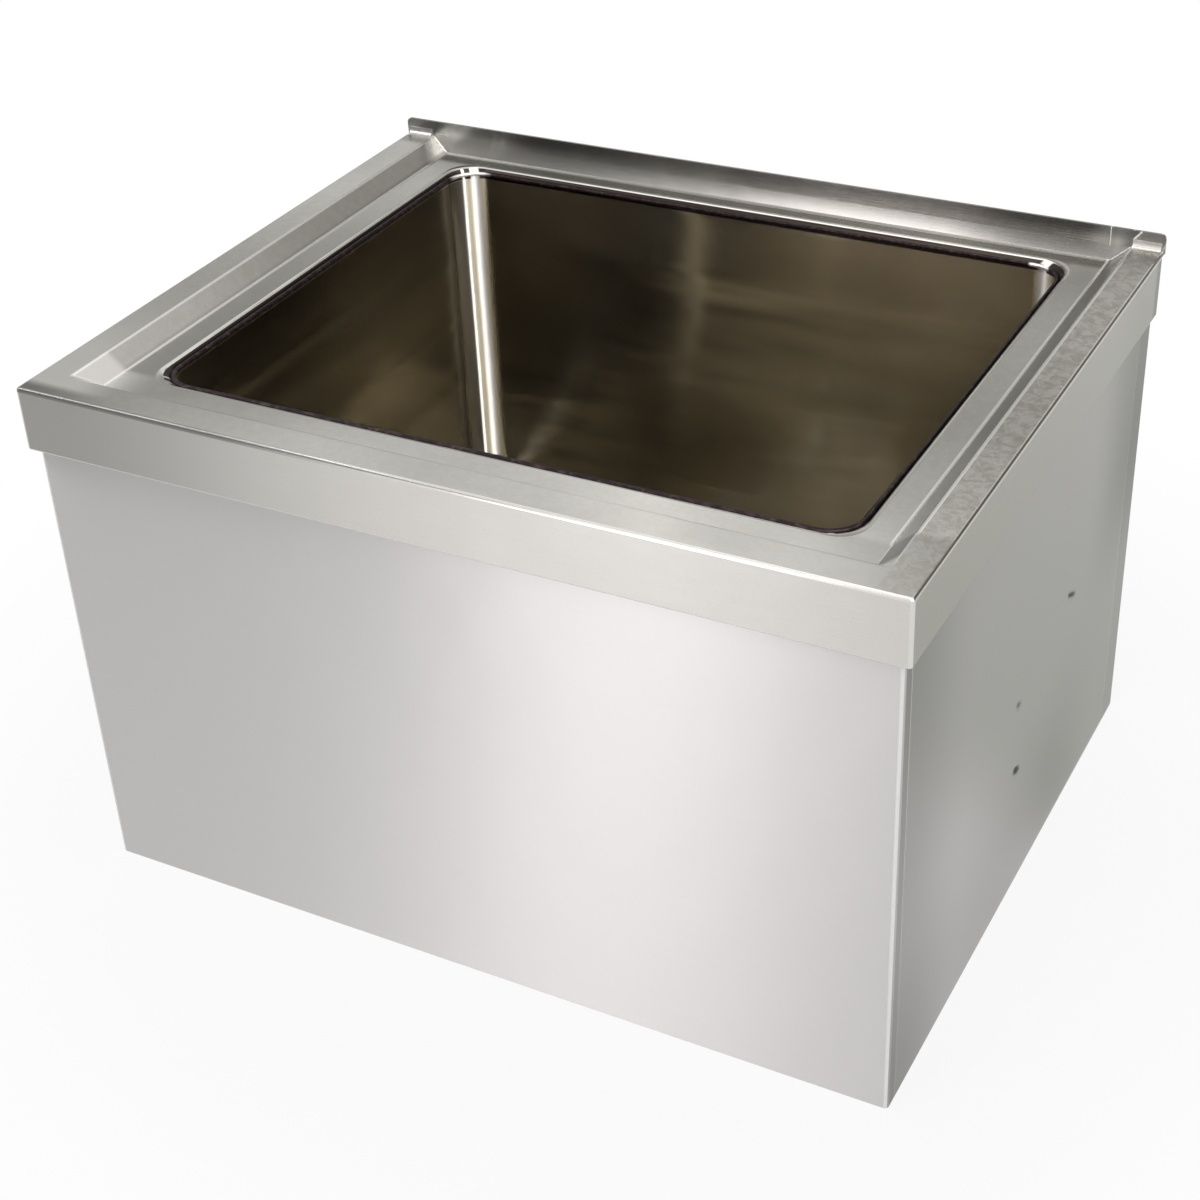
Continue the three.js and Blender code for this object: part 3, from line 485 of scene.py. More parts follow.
def bowl_steel():
    """Deep drawn sheet, smooth, with soft level waves; its darkness, wall tones and corner streaks are
    painted light and shade.
    """
    colour = settings().bowl_colour_painted_dark
    paint = Paint("bowl_steel")
    smooth, falls = paint.smooth, paint.falls
    place = paint.place()
    x, y, z = paint.parts(place)
    wave = paint.streaks(x * 2.6, y * 2.6, z * 17.0, 2.0, 0.45, 0.5)
    scuff = paint.streaks((x + y) * 22.0, 0.0, z * 900.0, 3.0, 0.6)
    cloud = paint.noise(place, 11.0, 4.0, 0.6)
    corner, streak = corners_and_painted_streaks(paint, x, y, z)
    collar = smooth(z, WELD_LEVEL - 0.2 * MM, WELD_LEVEL + 0.2 * MM)
    weld = falls(abs(z - WELD_LEVEL), 0.2 * MM, 0.7 * MM)
    low = falls(z, BOWL_FLOOR + 2 * MM, BOWL_FLOOR + 14 * MM)
    high = smooth(z, SEAM_LEVEL - 130 * MM, SEAM_LEVEL)
    at_back = smooth(y, BOWL_BACK - 12 * MM, BOWL_BACK - 4 * MM)
    back_left = falls(x, -165 * MM, -75 * MM) * at_back
    on_left = falls(x, -BOWL_RIGHT + 4 * MM, -BOWL_RIGHT + 12 * MM)
    wall_foot = falls(z, BOWL_FLOOR + 60 * MM, BOWL_FLOOR + 210 * MM)
    foot_right = smooth(x, 20 * MM, 120 * MM) * falls(z, BOWL_FLOOR, BOWL_FLOOR + 70 * MM)
    # the waves also set light and dark bands in the colour: painted reflections of the waves
    shade = 0.5 + (scuff - 0.5) * 0.4 + (cloud - 0.5) * 0.5 + (wave - 0.5) * 1.6
    finished = paint.coated(
        paint.blend(shade, scaled(colour, 0.74), scaled(colour, 1.26)),
        # painted light on the upper back wall, and more on the left part of the back wall
        (high * at_back * 0.85, scaled(colour, 2.1)),
        (back_left * 0.95, scaled(colour, 2.75)),
        # painted shade on the left wall, deepest towards its foot, and low on the right
        (on_left * (0.72 + wall_foot * 0.27) + foot_right * 0.45, scaled(colour, 0.07)),
        (low * smooth(cloud, 0.45, 0.7) * 0.3, (0.46, 0.45, 0.42)),
        # painted highlight: the corners a little lighter, with bright upright streaks
        (corner * (0.08 + streak * 0.92), (0.93, 0.92, 0.9)),
        # painted shade: a dark band on the collar above the weld line
        (collar * (1 - corner * streak), (0.05, 0.04, 0.035)),
        (weld * 0.35, (0.75, 0.73, 0.68)),
    )
    plain_rough = 0.15 + (cloud - 0.5) * 0.08 + (scuff - 0.5) * 0.04 + low * 0.16
    normal = paint.bump(wave, 2.5 * MM, paint.bump(scuff, 0.006 * MM))
    return paint.surface(finished, paint.mix(corner, plain_rough, 0.36), normal, BRUSHED)


def seam_weld():
    """The seam weld: blackened ripples, near black as painted shade, with painted highlights in the back
    corners.
    """
    paint = Paint("seam_weld")
    place = paint.place()
    x, y, _ = paint.parts(place)
    ripple = paint.noise(place, 260.0, 4.0, 0.65)
    grain = paint.noise(place, 1400.0, 3.0, 0.6)
    # near-black colour: painted shade along the opening's edge
    base = paint.blend(paint.smooth(ripple, 0.45, 0.8), (0.022, 0.015, 0.018), (0.10, 0.075, 0.065))
    in_corner = paint.smooth(y, BOWL_BACK - 24 * MM, BOWL_BACK - 16 * MM)
    left = paint.falls(x, -BOWL_RIGHT + 20 * MM, -BOWL_RIGHT + 30 * MM)
    right = paint.falls(abs(x - (BOWL_RIGHT - 20 * MM)), 6 * MM, 9 * MM)
    # painted highlight in the back corners, where the bowl's corner streaks meet the weld
    ground = paint.blend(in_corner * (left + right) * 0.9, base, (0.85, 0.84, 0.82))
    return paint.surface(ground, 0.42 + (grain - 0.5) * 0.3, paint.bump(ripple, 0.4 * MM))


def plain_steel():
    """Unpolished sheet of the hidden frame, with rolling marks and dull oxide."""
    paint = Paint("plain_steel")
    place = paint.place()
    marks = paint.noise(place, 240.0, 4.0, 0.65, 0.5)
    cloud = paint.noise(place, 16.0, 4.0, 0.6)
    base = paint.blend(0.5 + (cloud - 0.5) * 1.2, (0.33, 0.33, 0.32), (0.52, 0.515, 0.49))
    return paint.surface(base, 0.46 + (marks - 0.5) * 0.2, paint.bump(marks, 0.05 * MM))


def polished_steel():
    """Turned and polished drain metal, with rings left by the lathe."""
    paint = Paint("polished_steel")
    place = paint.place()
    x, y, z = paint.parts(place)
    out = paint.maths("SQRT", x * x + (y - BOWL_MIDDLE) * (y - BOWL_MIDDLE))
    rings = paint.streaks(out * 2600.0, 0.0, z * 2600.0)
    cloud = paint.noise(place, 38.0, 4.0, 0.6)
    shade = 0.5 + (rings - 0.5) * 0.5 + (cloud - 0.5) * 0.7 + paint.marked("worn") * 0.25
    base = paint.blend(shade, (0.50, 0.49, 0.465), (0.70, 0.69, 0.665))
    rough = 0.2 + (cloud - 0.5) * 0.14 + (rings - 0.5) * 0.08
    return paint.surface(base, rough, paint.bump(rings, 0.012 * MM))


def nut_brass():
    """Rough cast brass, tarnished in patches and bright on worn edges."""
    paint = Paint("nut_brass")
    place = paint.place()
    grit = paint.noise(place, 900.0, 4.0, 0.65)
    cloud = paint.noise(place, 60.0, 4.0, 0.6)
    worn = paint.marked("worn")
    base = paint.blend(cloud, (0.30, 0.205, 0.085), (0.56, 0.41, 0.17))
    bright = paint.blend(worn * 0.7, base, (0.78, 0.60, 0.28))
    return paint.surface(bright, 0.42 + (grit - 0.5) * 0.3 - worn * 0.14, paint.bump(grit, 0.09 * MM))


def black_rubber():
    """Moulded rubber, matt, with a dusting on its faces."""
    paint = Paint("black_rubber")
    place = paint.place()
    grit = paint.noise(place, 1500.0, 3.0, 0.6)
    dust = paint.smooth(paint.noise(place, 70.0, 4.0, 0.65), 0.5, 0.75)
    base = paint.blend(dust * 0.5, (0.022, 0.022, 0.023), (0.085, 0.083, 0.08))
    return paint.surface(base, 0.66 + (grit - 0.5) * 0.24, paint.bump(grit, 0.05 * MM), {})


def fibre_board():
    """Red-brown pressed fibre board, flecked."""
    paint = Paint("fibre_board")
    x, y, z = paint.parts(paint.place())
    fleck = paint.streaks(x * 700.0, y * 160.0, z * 700.0, 4.0, 0.7, 1.0)
    base = paint.blend(paint.smooth(fleck, 0.3, 0.7), (0.19, 0.085, 0.04), (0.42, 0.23, 0.12))
    return paint.surface(base, 0.78 + (fleck - 0.5) * 0.2, paint.bump(fleck, 0.06 * MM), {})


def damping_sheet():
    """Pebbled bitumen-like damping pad."""
    paint = Paint("damping_sheet")
    place = paint.place()
    pebble = paint.node(
        "ShaderNodeTexVoronoi",
        {"feature": "SMOOTH_F1"},
        {"Vector": place, "Scale": 420.0, "Smoothness": 0.6},
        "Distance",
    )
    cloud = paint.noise(place, 24.0, 4.0, 0.6)
    base = paint.blend(cloud * 0.8 + pebble * 0.3, (0.032, 0.032, 0.036), (0.085, 0.086, 0.09))
    return paint.surface(base, 0.86 - pebble * 0.2, paint.bump(pebble, 0.35 * MM), {})


SHEET_FINISHES = (deck_steel, rolled_steel, skirt_steel, bowl_steel, plain_steel)
DETAIL_FINISHES = (seam_weld, polished_steel, nut_brass, black_rubber, fibre_board, damping_sheet)
FINISHES = {maker.__name__: maker for maker in (*SHEET_FINISHES, *DETAIL_FINISHES)}


@functools.cache
def finish(slot):
    """The material of a slot, made the first time it is asked for."""
    return FINISHES[slot]()


# ---------------------------------------------------------------- mesh making

SHARP_ANGLE = math.radians(40)
WORN_WIDTH = 0.9 * MM  # faces as narrow as this lie along an edge
BEND_WIDTH = 3.0 * MM  # and up to this, on a bend
CREASE_ANGLE = math.radians(75)  # sharper folds than this stay sharp in the shading
FLAT_ANGLE = math.radians(0.4)
MERGE_DISTANCE = 0.001 * MM
TURN_STEPS = 96  # round the drain


def shown(name, mesh):
    made = bpy.data.objects.new(name, mesh)
    bpy.context.scene.collection.objects.link(made)
    return made


def as_mesh(name, points, faces):
    mesh = bpy.data.meshes.new(name)
    mesh.from_pydata(points, [], faces)
    mesh.validate()
    return mesh


def finished_mesh(name, work):
    """The mesh of a bmesh, with its faces pointing outwards. The bmesh goes."""
    bmesh.ops.recalc_face_normals(work, faces=work.faces)
    mesh = bpy.data.meshes.new(name)
    work.to_mesh(mesh)
    work.free()
    return mesh


def box_mesh(name, low, high, edge=0):
    """A box from corner to corner, with bevelled edges if a width is given."""
    work = bmesh.new()
    bmesh.ops.create_cube(work, size=1)
    for vert in work.verts:
        vert.co = [b if side > 0 else a for a, b, side in zip(low, high, vert.co)]
    if edge:
        bmesh.ops.bevel(work, geom=work.edges[:], offset=edge, segments=2, affect="EDGES")
    return finished_mesh(name, work)


def tidy_mesh(mesh, flat_angle=FLAT_ANGLE):
    """Merges doubles, joins coplanar triangles and points the faces outwards."""
    work = bmesh.new()
    work.from_mesh(mesh)
    bmesh.ops.remove_doubles(work, verts=work.verts, dist=MERGE_DISTANCE)
    if flat_angle:
        bmesh.ops.dissolve_limit(work, angle_limit=flat_angle, verts=work.verts, edges=work.edges)
    bmesh.ops.recalc_face_normals(work, faces=work.faces)
    work.to_mesh(mesh)
    work.free()


def plain(made, name):
    """A plain mesh of an object as its modifiers leave it. The object itself goes."""
    shapes = bpy.context.evaluated_depsgraph_get()
    mesh = bpy.data.meshes.new_from_object(made.evaluated_get(shapes))
    mesh.name = name
    bpy.data.objects.remove(made)
    return shown(name, mesh)


def mark_worn(mesh):
    """Marks the narrow faces along edges and on bends as "worn"."""
    worn = mesh.attributes.new("worn", "FLOAT", "FACE")
    for face, mark in zip(mesh.polygons, worn.data):
        corners = [mesh.vertices[index].co for index in face.vertices]
        longest = max((a - b).length for a, b in zip(corners, corners[1:] + corners[:1]))
        width = face.area / longest
        mark.value = min(1.0, max(0.0, (BEND_WIDTH - width) / (BEND_WIDTH - WORN_WIDTH)))


def edge_finished(made, name, edge):
    """Rounds the sharp edges, smooths the bends and keeps flat faces flat."""
    if edge:
        bevel = made.modifiers.new("edges", "BEVEL")
        bevel.width = edge
        bevel.segments = 2
        bevel.limit_method = "ANGLE"
        bevel.angle_limit = SHARP_ANGLE
        bevel.use_clamp_overlap = True
    made.data.shade_smooth()
    made.data.set_sharp_from_angle(angle=CREASE_ANGLE)
    weighted = made.modifiers.new("normals", "WEIGHTED_NORMAL")
    weighted.keep_sharp = True
    piece = plain(made, name)
    mark_worn(piece.data)
    return piece


def dressed(node, name, edge):
    """A copy of a frame node, merged, with its sharp edges rounded."""
    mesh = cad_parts[node].data.copy()
    mesh.materials.clear()
    tidy_mesh(mesh)
    return edge_finished(shown(node + "_copy", mesh), name, edge)


def settle(piece, slot, *nodes, body=SINK):
    """Paints a piece, hangs it on its body and hides the nodes that it stands for."""
    if not piece.data.materials:
        piece.data.materials.append(finish(slot))
    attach(piece, body)
    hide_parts(*nodes)


def ring(half_x, front, back, radius, z, steps, side_steps):
    """A rounded rectangle in plan, anticlockwise, with points along its sides too."""
    corners = (
        (half_x - radius, front + radius, -90),
        (half_x - radius, back - radius, 0),
        (-half_x + radius, back - radius, 90),
        (-half_x + radius, front + radius, 180),
    )
    points = []
    for index, (x, y, start) in enumerate(corners):
        for step in range(steps + 1):
            angle = math.radians(start + 90 * step / steps)
            points.append(Vector((x + radius * math.cos(angle), y + radius * math.sin(angle), z)))
        next_x, next_y, next_start = corners[(index + 1) % 4]
        turn = math.radians(next_start)
        target = Vector((next_x + radius * math.cos(turn), next_y + radius * math.sin(turn), z))
        last = points[-1]
        points += [last.lerp(target, step / side_steps) for step in range(1, side_steps)]
    return points


def circle_like(points, radius, z):
    """A circle round the drain, its points in the same directions as those of a ring."""
    made = []
    for point in points:
        out = Vector((point.x, point.y - BOWL_MIDDLE, 0)).normalized() * radius
        made.append(Vector((out.x, out.y + BOWL_MIDDLE, z)))
    return made


def lofted(rings, closes):
    """Points and faces of a skin through rings of equal count."""
    count = len(rings[0])
    points = [tuple(point) for level in rings for point in level]
    faces = []
    for level in range(len(rings) if closes else len(rings) - 1):
        below = level * count
        above = (level + 1) % len(rings) * count
        for step in range(count):
            after = (step + 1) % count
            faces.append((below + step, below + after, above + after, above + step))
    return points, faces


def turned(name, section):
    """A turned solid on the drain's axis from a closed (radius, z) section."""
    turns = [2 * math.pi * step / TURN_STEPS for step in range(TURN_STEPS)]
    rings = [
        [DRAIN_AXIS + Vector((radius * math.cos(turn), radius * math.sin(turn), z)) for turn in turns]
        for radius, z in section
    ]
    mesh = as_mesh(name, *lofted(rings, True))
    tidy_mesh(mesh, 0)
    return mesh


# ---------------------------------------------------------------- geometry nodes


class Growth(Wiring):
    """A geometry node tree with named inputs."""

    def __init__(self, name, **inputs):
        group = bpy.data.node_groups.new(name, "GeometryNodeTree")
        super().__init__(group)
        for label, kind in {"Geometry": "Geometry", **inputs, "Material": "Material"}.items():
            group.interface.new_socket(label, in_out="INPUT", socket_type="NodeSocket" + kind)
        group.interface.new_socket("Geometry", in_out="OUTPUT", socket_type="NodeSocketGeometry")
        self.source = group.nodes.new("NodeGroupInput")

    def given(self, label):
        return Value(self, self.source.outputs[label])

    def step(self, kind, inputs=None, options=None, output=0):
        """A geometry node."""
        return self.node("GeometryNode" + kind, options, inputs, output)

    def closes_with(self, geometry):
        """Realizes what is left as instances, paints it and ends the tree."""
        real = self.step("RealizeInstances", {"Geometry": geometry})
        painted = self.step("SetMaterial", {"Geometry": real, "Material": self.given("Material")})
        self.node("NodeGroupOutput", None, {"Geometry": painted})
        return self

    def grow(self, name, mesh, values):
        """The tree's result on a mesh, as a plain mesh object."""
        made = shown(name + "_seed", mesh)
        modifier = made.modifiers.new("growth", "NODES")
        modifier.node_group = self.tree
        for item in self.tree.interface.items_tree:
            if item.in_out == "INPUT" and item.name in values:
                modifier[item.identifier] = values[item.name]
        return plain(made, name)


def dent_tree():
    """Sinks a sheet at spot welds, and marks each weld's middle as "pit"."""
    tree = Growth(
        "spot_weld_dents", Spots="Object", Radius="Float", Depth="Float", Pit="Float", Inwards="Vector"
    )
    spots = tree.step("ObjectInfo", {"Object": tree.given("Spots")}, output="Geometry")
    near = tree.step("Proximity", {0: spots}, {"target_element": "POINTS"}, "Distance")
    sunk = tree.smooth(near, 0.0, tree.given("Radius"), tree.given("Depth"), 0.0)
    towards = {0: tree.given("Inwards"), "Scale": sunk}
    offset = tree.node("ShaderNodeVectorMath", {"operation": "SCALE"}, towards)
    dented = tree.step("SetPosition", {"Geometry": tree.given("Geometry"), "Offset": offset})
    pit = {"Geometry": dented, "Name": "pit", "Value": tree.falls(near, 0.0, tree.given("Pit"))}
    marked = tree.step("StoreNamedAttribute", pit, {"data_type": "FLOAT", "domain": "POINT"})
    return tree.closes_with(marked)


def wheel_tree():
    """Sets copies of the given mesh round the drain's axis."""
    tree = Growth("copies_round_the_drain", Count="Int", Centre="Vector")
    spokes = tree.step("Points", {"Count": tree.given("Count")})
    index = tree.step("InputIndex")
    turn = tree.maths("DIVIDE", index * (2 * math.pi), tree.given("Count"))
    copies = {"Points": spokes, "Instance": tree.given("Geometry"), "Rotation": tree.vector(z=turn)}
    placed = tree.step("InstanceOnPoints", copies)
    moved = tree.step("Transform", {"Geometry": placed, "Translation": tree.given("Centre")})
    return tree.closes_with(moved)


def bead_tree():
    """Lays a ground weld: ripples along a line, each a flattened ball."""
    tree = Growth(
        "weld_bead", Start="Vector", End="Vector", Count="Int", Width="Float", Proud="Float"
    )
    ends = {"Start Location": tree.given("Start"), "Offset": tree.given("End")}
    line = tree.step("MeshLine", {"Count": tree.given("Count"), **ends}, {"mode": "END_POINTS"})
    ball = tree.step("MeshUVSphere", {"Segments": 12, "Rings": 6, "Radius": 1.0})
    spread = {2: 0.85, 3: 1.1, "Seed": 4}
    wander = tree.node("FunctionNodeRandomValue", {"data_type": "FLOAT"}, spread, 1)
    width = tree.given("Width")
    size = tree.vector(width * 0.5 * wander, tree.given("Proud"), width * 0.6)
    ripples = tree.step("InstanceOnPoints", {"Points": line, "Instance": ball, "Scale": size})
    return tree.closes_with(ripples)


def strainer_tree():
    """A round plate less rings of round holes."""
    tree = Growth(
        "perforated_plate", Radius="Float", Thickness="Float", Hole="Float", Pitch="Float", Centre="Vector"
    )
    thickness = tree.given("Thickness")

    def cylinder(vertices, radius, depth):
        sizes = {"Vertices": vertices, "Radius": radius, "Depth": depth}
        return tree.step("MeshCylinder", sizes, {"fill_type": "NGON"})

    plate = cylinder(96, tree.given("Radius"), thickness)
    drill = cylinder(24, tree.given("Hole"), thickness * 3)
    rows = [tree.step("MeshLine", {"Count": 1}, {"mode": "OFFSET"})]
    for row in range(1, STRAINER_RINGS + 1):
        rows.append(tree.step("MeshCircle", {"Vertices": 6 * row, "Radius": tree.given("Pitch") * row}))
    join = tree.tree.nodes.new("GeometryNodeJoinGeometry")
    for points in rows:
        tree.tree.links.new(points.socket, join.inputs[0])
    holes = tree.step("InstanceOnPoints", {"Points": Value(tree, join.outputs[0]), "Instance": drill})
    tools = tree.step("RealizeInstances", {"Geometry": holes})
    cut = {"operation": "DIFFERENCE", "solver": "EXACT"}
    drilled = tree.step("MeshBoolean", {"Mesh 1": plate, "Mesh 2": tools}, cut)
    moved = tree.step("Transform", {"Geometry": drilled, "Translation": tree.given("Centre")})
    return tree.closes_with(moved)


# ---------------------------------------------------------------- deck and bowl


def dress_deck():
    """The pressed deck. Its rolled edge is bright on top, and below finished as the bowl is."""
    piece = dressed("deck", "deck_pressing", settings().edge)
    mesh = piece.data
    mesh.materials.clear()
    for name in ("deck_steel", "rolled_steel", "bowl_steel"):
        mesh.materials.append(finish(name))
    for face in mesh.polygons:
        middle = face.center
        in_width = abs(middle.x) < BOWL_RIGHT + ROLL_RADIUS
        in_depth = BOWL_FRONT - ROLL_RADIUS < middle.y < BOWL_BACK + ROLL_RADIUS
        if in_width and in_depth and middle.z < DECK_LEVEL - 0.02 * MM:
            face.material_index = 1 if middle.z > DECK_LEVEL - ROLL_BRIGHT else 2
    settle(piece, "deck_steel", "deck")


FLOOR_RINGS = 14
WALL_RINGS = 10
SIDE_STEPS = 14


def bowl_face(sheet, steps):
    """Rings of one face of the bowl's sheet, from the seam down to the drain hole."""

    def wall(out, z, radius):
        half = BOWL_RIGHT + out
        return ring(half, BOWL_FRONT - out, BOWL_BACK + out, radius, z, steps, SIDE_STEPS)

    rings = []
    cove_top = BOWL_FLOOR + BOWL_COVE
    for level in range(WALL_RINGS):
        z = SEAM_LEVEL + (cove_top - SEAM_LEVEL) * level / WALL_RINGS
        rings.append(wall(sheet, z, BOWL_CORNER + sheet))
    for step in range(steps + 1):
        angle = math.pi / 2 * step / steps
        reach = BOWL_COVE + sheet
        out = reach * math.cos(angle) - BOWL_COVE
        rings.append(wall(out, cove_top - reach * math.sin(angle), BOWL_CORNER + out))
    foot = rings[-1]
    near = circle_like(foot, SEAT_RADIUS + 2 * MM, DRAIN_FLOOR - sheet)
    for level in range(1, FLOOR_RINGS + 1):
        rings.append([a.lerp(b, level / FLOOR_RINGS) for a, b in zip(foot, near)])
    for radius, depth in (
        (SEAT_RADIUS + 0.8 * MM, 0.15 * MM),
        (SEAT_RADIUS + 0.1 * MM, 0.7 * MM),
        (SEAT_RADIUS - 0.4 * MM, SEAT_DEPTH - 0.7 * MM),
        (SEAT_RADIUS - 1.1 * MM, SEAT_DEPTH - 0.1 * MM),
        (SEAT_RADIUS - 2 * MM, SEAT_DEPTH),
        (BOWL_HOLE, SEAT_DEPTH),
    ):
        rings.append(circle_like(foot, radius, DRAIN_FLOOR - depth - sheet))
    return rings


def form_bowl():
    """The drawn bowl, with coved corners and a floor that falls to the drain."""
    steps = settings().corner_steps
    rings = [*reversed(bowl_face(BOWL_SHEET, steps)), *bowl_face(0, steps)]
    mesh = as_mesh("bowl", *lofted(rings, True))
    tidy_mesh(mesh, 0)
    piece = edge_finished(shown("bowl_shape", mesh), "bowl_pressing", 0)
    settle(piece, "bowl_steel", "bowl")


# ---------------------------------------------------------------- base

PANEL_STEP = 2.5 * MM  # mesh spacing of the dented side panels
PIT_RADIUS = 4.6 * MM  # of the roughened middle of a dent
POST_ROOM = 27 * MM  # the side flanges stop this far from the corners


def spaced(low, high, step):
    count = max(1, round((high - low) / step))
    return [low + (high - low) * index / count for index in range(count + 1)]


def side_panel_mesh(side):
    """A side panel's wall, fine enough to be dented."""
    low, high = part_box("skirt_right")
    ys = spaced(low.y, high.y, PANEL_STEP)
    zs = spaced(low.z, high.z, PANEL_STEP)
    rows, columns = len(ys) - 1, len(zs) - 1
    work = bmesh.new()
    outer, inner = (
        [[work.verts.new((side * x, y, z)) for z in zs] for y in ys]
        for x in (high.x, high.x - BOWL_SHEET)
    )
    for face, order in ((outer, 1), (inner, -1)):
        for row in range(rows):
            for column in range(columns):
                near, far = face[row], face[row + 1]
                quad = (near[column], far[column], far[column + 1], near[column + 1])
                work.faces.new(quad[::order])
    outline = [(row, 0) for row in range(rows)]
    outline += [(rows, column) for column in range(columns)]
    outline += [(row, columns) for row in range(rows, 0, -1)]
    outline += [(0, column) for column in range(columns, 0, -1)]
    for (row, column), (next_row, next_column) in zip(outline, outline[1:] + outline[:1]):
        outer_edge = (outer[next_row][next_column], outer[row][column])
        work.faces.new((*outer_edge, inner[row][column], inner[next_row][next_column]))
    return finished_mesh("side_wall", work)


def side_flange(side):
    """The side panel's flange along the floor."""
    low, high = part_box("skirt_right")
    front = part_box("corner_post_front_right")[0].y + POST_ROOM
    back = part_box("corner_post_rear_right")[1].y - POST_ROOM
    wall = side * (high.x - BOWL_SHEET)
    return box_mesh("side_flange", (side * low.x, front, 0), (wall, back, BOWL_SHEET))


def joined_meshes(name, *meshes):
    work = bmesh.new()
    for mesh in meshes:
        work.from_mesh(mesh)
    made = bpy.data.meshes.new(name)
    work.to_mesh(made)
    work.free()
    return made


def spot_points(outside):
    """Points along the spot welds of the panel whose outer face is at x = outside."""
    points = []
    for y, z, half_length, _, _ in SPOT_WELDS:
        for share in (-0.6, -0.2, 0.2, 0.6):
            along = half_length * share
            points.append((outside, y + SPOT_ALONG[0] * along, z + SPOT_ALONG[1] * along))
    return points


def dress_panels():
    """The four base panels: front and rear wrap the corners, the sides carry dents."""
    edge = settings().edge
    for place in ("front", "rear"):
        settle(dressed(f"skirt_{place}", f"{place}_panel", edge), "skirt_steel", f"skirt_{place}")
    tree = dent_tree()
    for name, side in (("left", -1), ("right", 1)):
        spots = shown(f"{name}_spot_welds", as_mesh("spots", spot_points(side * SKIRT_FACE), []))
        values = {
            "Spots": spots,
            "Radius": settings().dent_radius,
            "Depth": settings().dent_depth,
            "Pit": PIT_RADIUS,
            "Inwards": (-side, 0.0, 0.0),
            "Material": finish("skirt_steel"),
        }
        both = joined_meshes("side_panel", side_panel_mesh(side), side_flange(side))
        dented = tree.grow(f"{name}_panel_shape", both, values)
        bpy.data.objects.remove(spots)
        piece = edge_finished(dented, f"{name}_panel", edge * 0.6)
        settle(piece, "skirt_steel", f"skirt_{name}")


REAR_TRIM = 1.2 * MM
TRIM_OVERLAP = 12 * MM  # how far the trim covers the rear panel's returns
TRIM_PROUD = 0.03 * MM


def trim_rear_edges():
    """Plain plates that carry the side panels' faces back to the plane of the tile lip."""
    low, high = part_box("skirt_rear")
    outside = high.x + TRIM_PROUD
    for name, side in (("left", -1), ("right", 1)):
        inside = (side * (outside - REAR_TRIM), high.y - TRIM_OVERLAP, low.z)
        mesh = box_mesh("rear_trim", inside, (side * outside, DECK_HIGH.y, high.z))
        piece = edge_finished(shown(f"{name}_trim_shape", mesh), f"rear_trim_{name}", settings().edge)
        settle(piece, "skirt_steel")


FRAME_PIECES = {
    "plain_steel": (
        "corner_post_front_left",
        "corner_post_front_right",
        "corner_post_rear_left",
        "corner_post_rear_right",
        "side_stiffener_left",
        "side_stiffener_right",
        "support_channel_front",
        "support_channel_rear",
    ),
    "black_rubber": ("support_pad_front", "support_pad_rear"),
    "damping_sheet": ("sound_pad_front", "sound_pad_rear", "sound_pad_left", "sound_pad_right"),
}


def dress_inner_frame():
    """Posts, stiffeners, channels and pads, as they are, with rounded edges."""
    for slot, nodes in FRAME_PIECES.items():
        for node in nodes:
            settle(dressed(node, node + "_finished", settings().edge), slot, node)


# ---------------------------------------------------------------- drain

STRAINER_RINGS = 3
STRAINER_PITCH = 10.5 * MM
THREAD_PITCH = 1.6 * MM
THREAD_DEPTH = 0.5 * MM
LUG_ROUNDING = 0.16  # of a lug's smaller side


def threaded(radius, low, high):
    """The (radius, z) points of a threaded stretch, from low to high, as plain ridges."""
    count = int((high - low) / THREAD_PITCH)
    points = []
    for index in range(count):
        z = low + index * THREAD_PITCH
        points += [(radius - THREAD_DEPTH, z), (radius, z + THREAD_PITCH / 2)]
    return points


def form_drain_body():
    """Flange, threaded body, funnel and outlet, turned in one."""
    top = BODY_HIGH.z
    under = top - 2 * MM
    outer, bore = 44.5 * MM, 42 * MM
    ledge = top - 5 * MM
    ledge_in = bore - 4 * MM
    funnel_top = under - 34 * MM
    funnel_foot = funnel_top - 10 * MM
    outlet, outlet_bore = 30 * MM, 26 * MM
    flange = 55 * MM
    section = [
        (outlet_bore + 0.6 * MM, BODY_LOW.z),
        (outlet - 0.8 * MM, BODY_LOW.z),
        (outlet - 0.1 * MM, BODY_LOW.z + 0.7 * MM),
        *threaded(outlet, BODY_LOW.z + 1 * MM, funnel_foot - 1 * MM),
        (outlet, funnel_foot),
        (outer - 0.6 * MM, funnel_top),
        *threaded(outer, funnel_top + 0.5 * MM, under - 1 * MM),
        (outer - THREAD_DEPTH, under),
        (flange - 0.5 * MM, under),
        (flange, under + 0.4 * MM),
        (flange, under + 0.9 * MM),
        (flange - 0.5 * MM, top - 0.5 * MM),
        (flange - 2 * MM, top),
        (bore + 2.2 * MM, top),
        (bore + 1.2 * MM, top - 0.2 * MM),
        (bore + 0.4 * MM, top - 0.9 * MM),
        (bore, top - 2.1 * MM),
        (bore, ledge),
        (ledge_in + 0.4 * MM, ledge),
        (ledge_in, ledge - 0.4 * MM),
        (ledge_in, funnel_top + 2 * MM),
        (ledge_in - 0.8 * MM, funnel_top + 0.4 * MM),
        (outlet_bore + 0.6 * MM, funnel_foot + 1.2 * MM),
        (outlet_bore, funnel_foot),
        (outlet_bore, BODY_LOW.z + 0.6 * MM),
    ]
    shape = shown("drain_body_shape", turned("drain_body", section))
    piece = edge_finished(shape, "drain_body_turned", 0)
    settle(piece, "polished_steel", "drain_body")


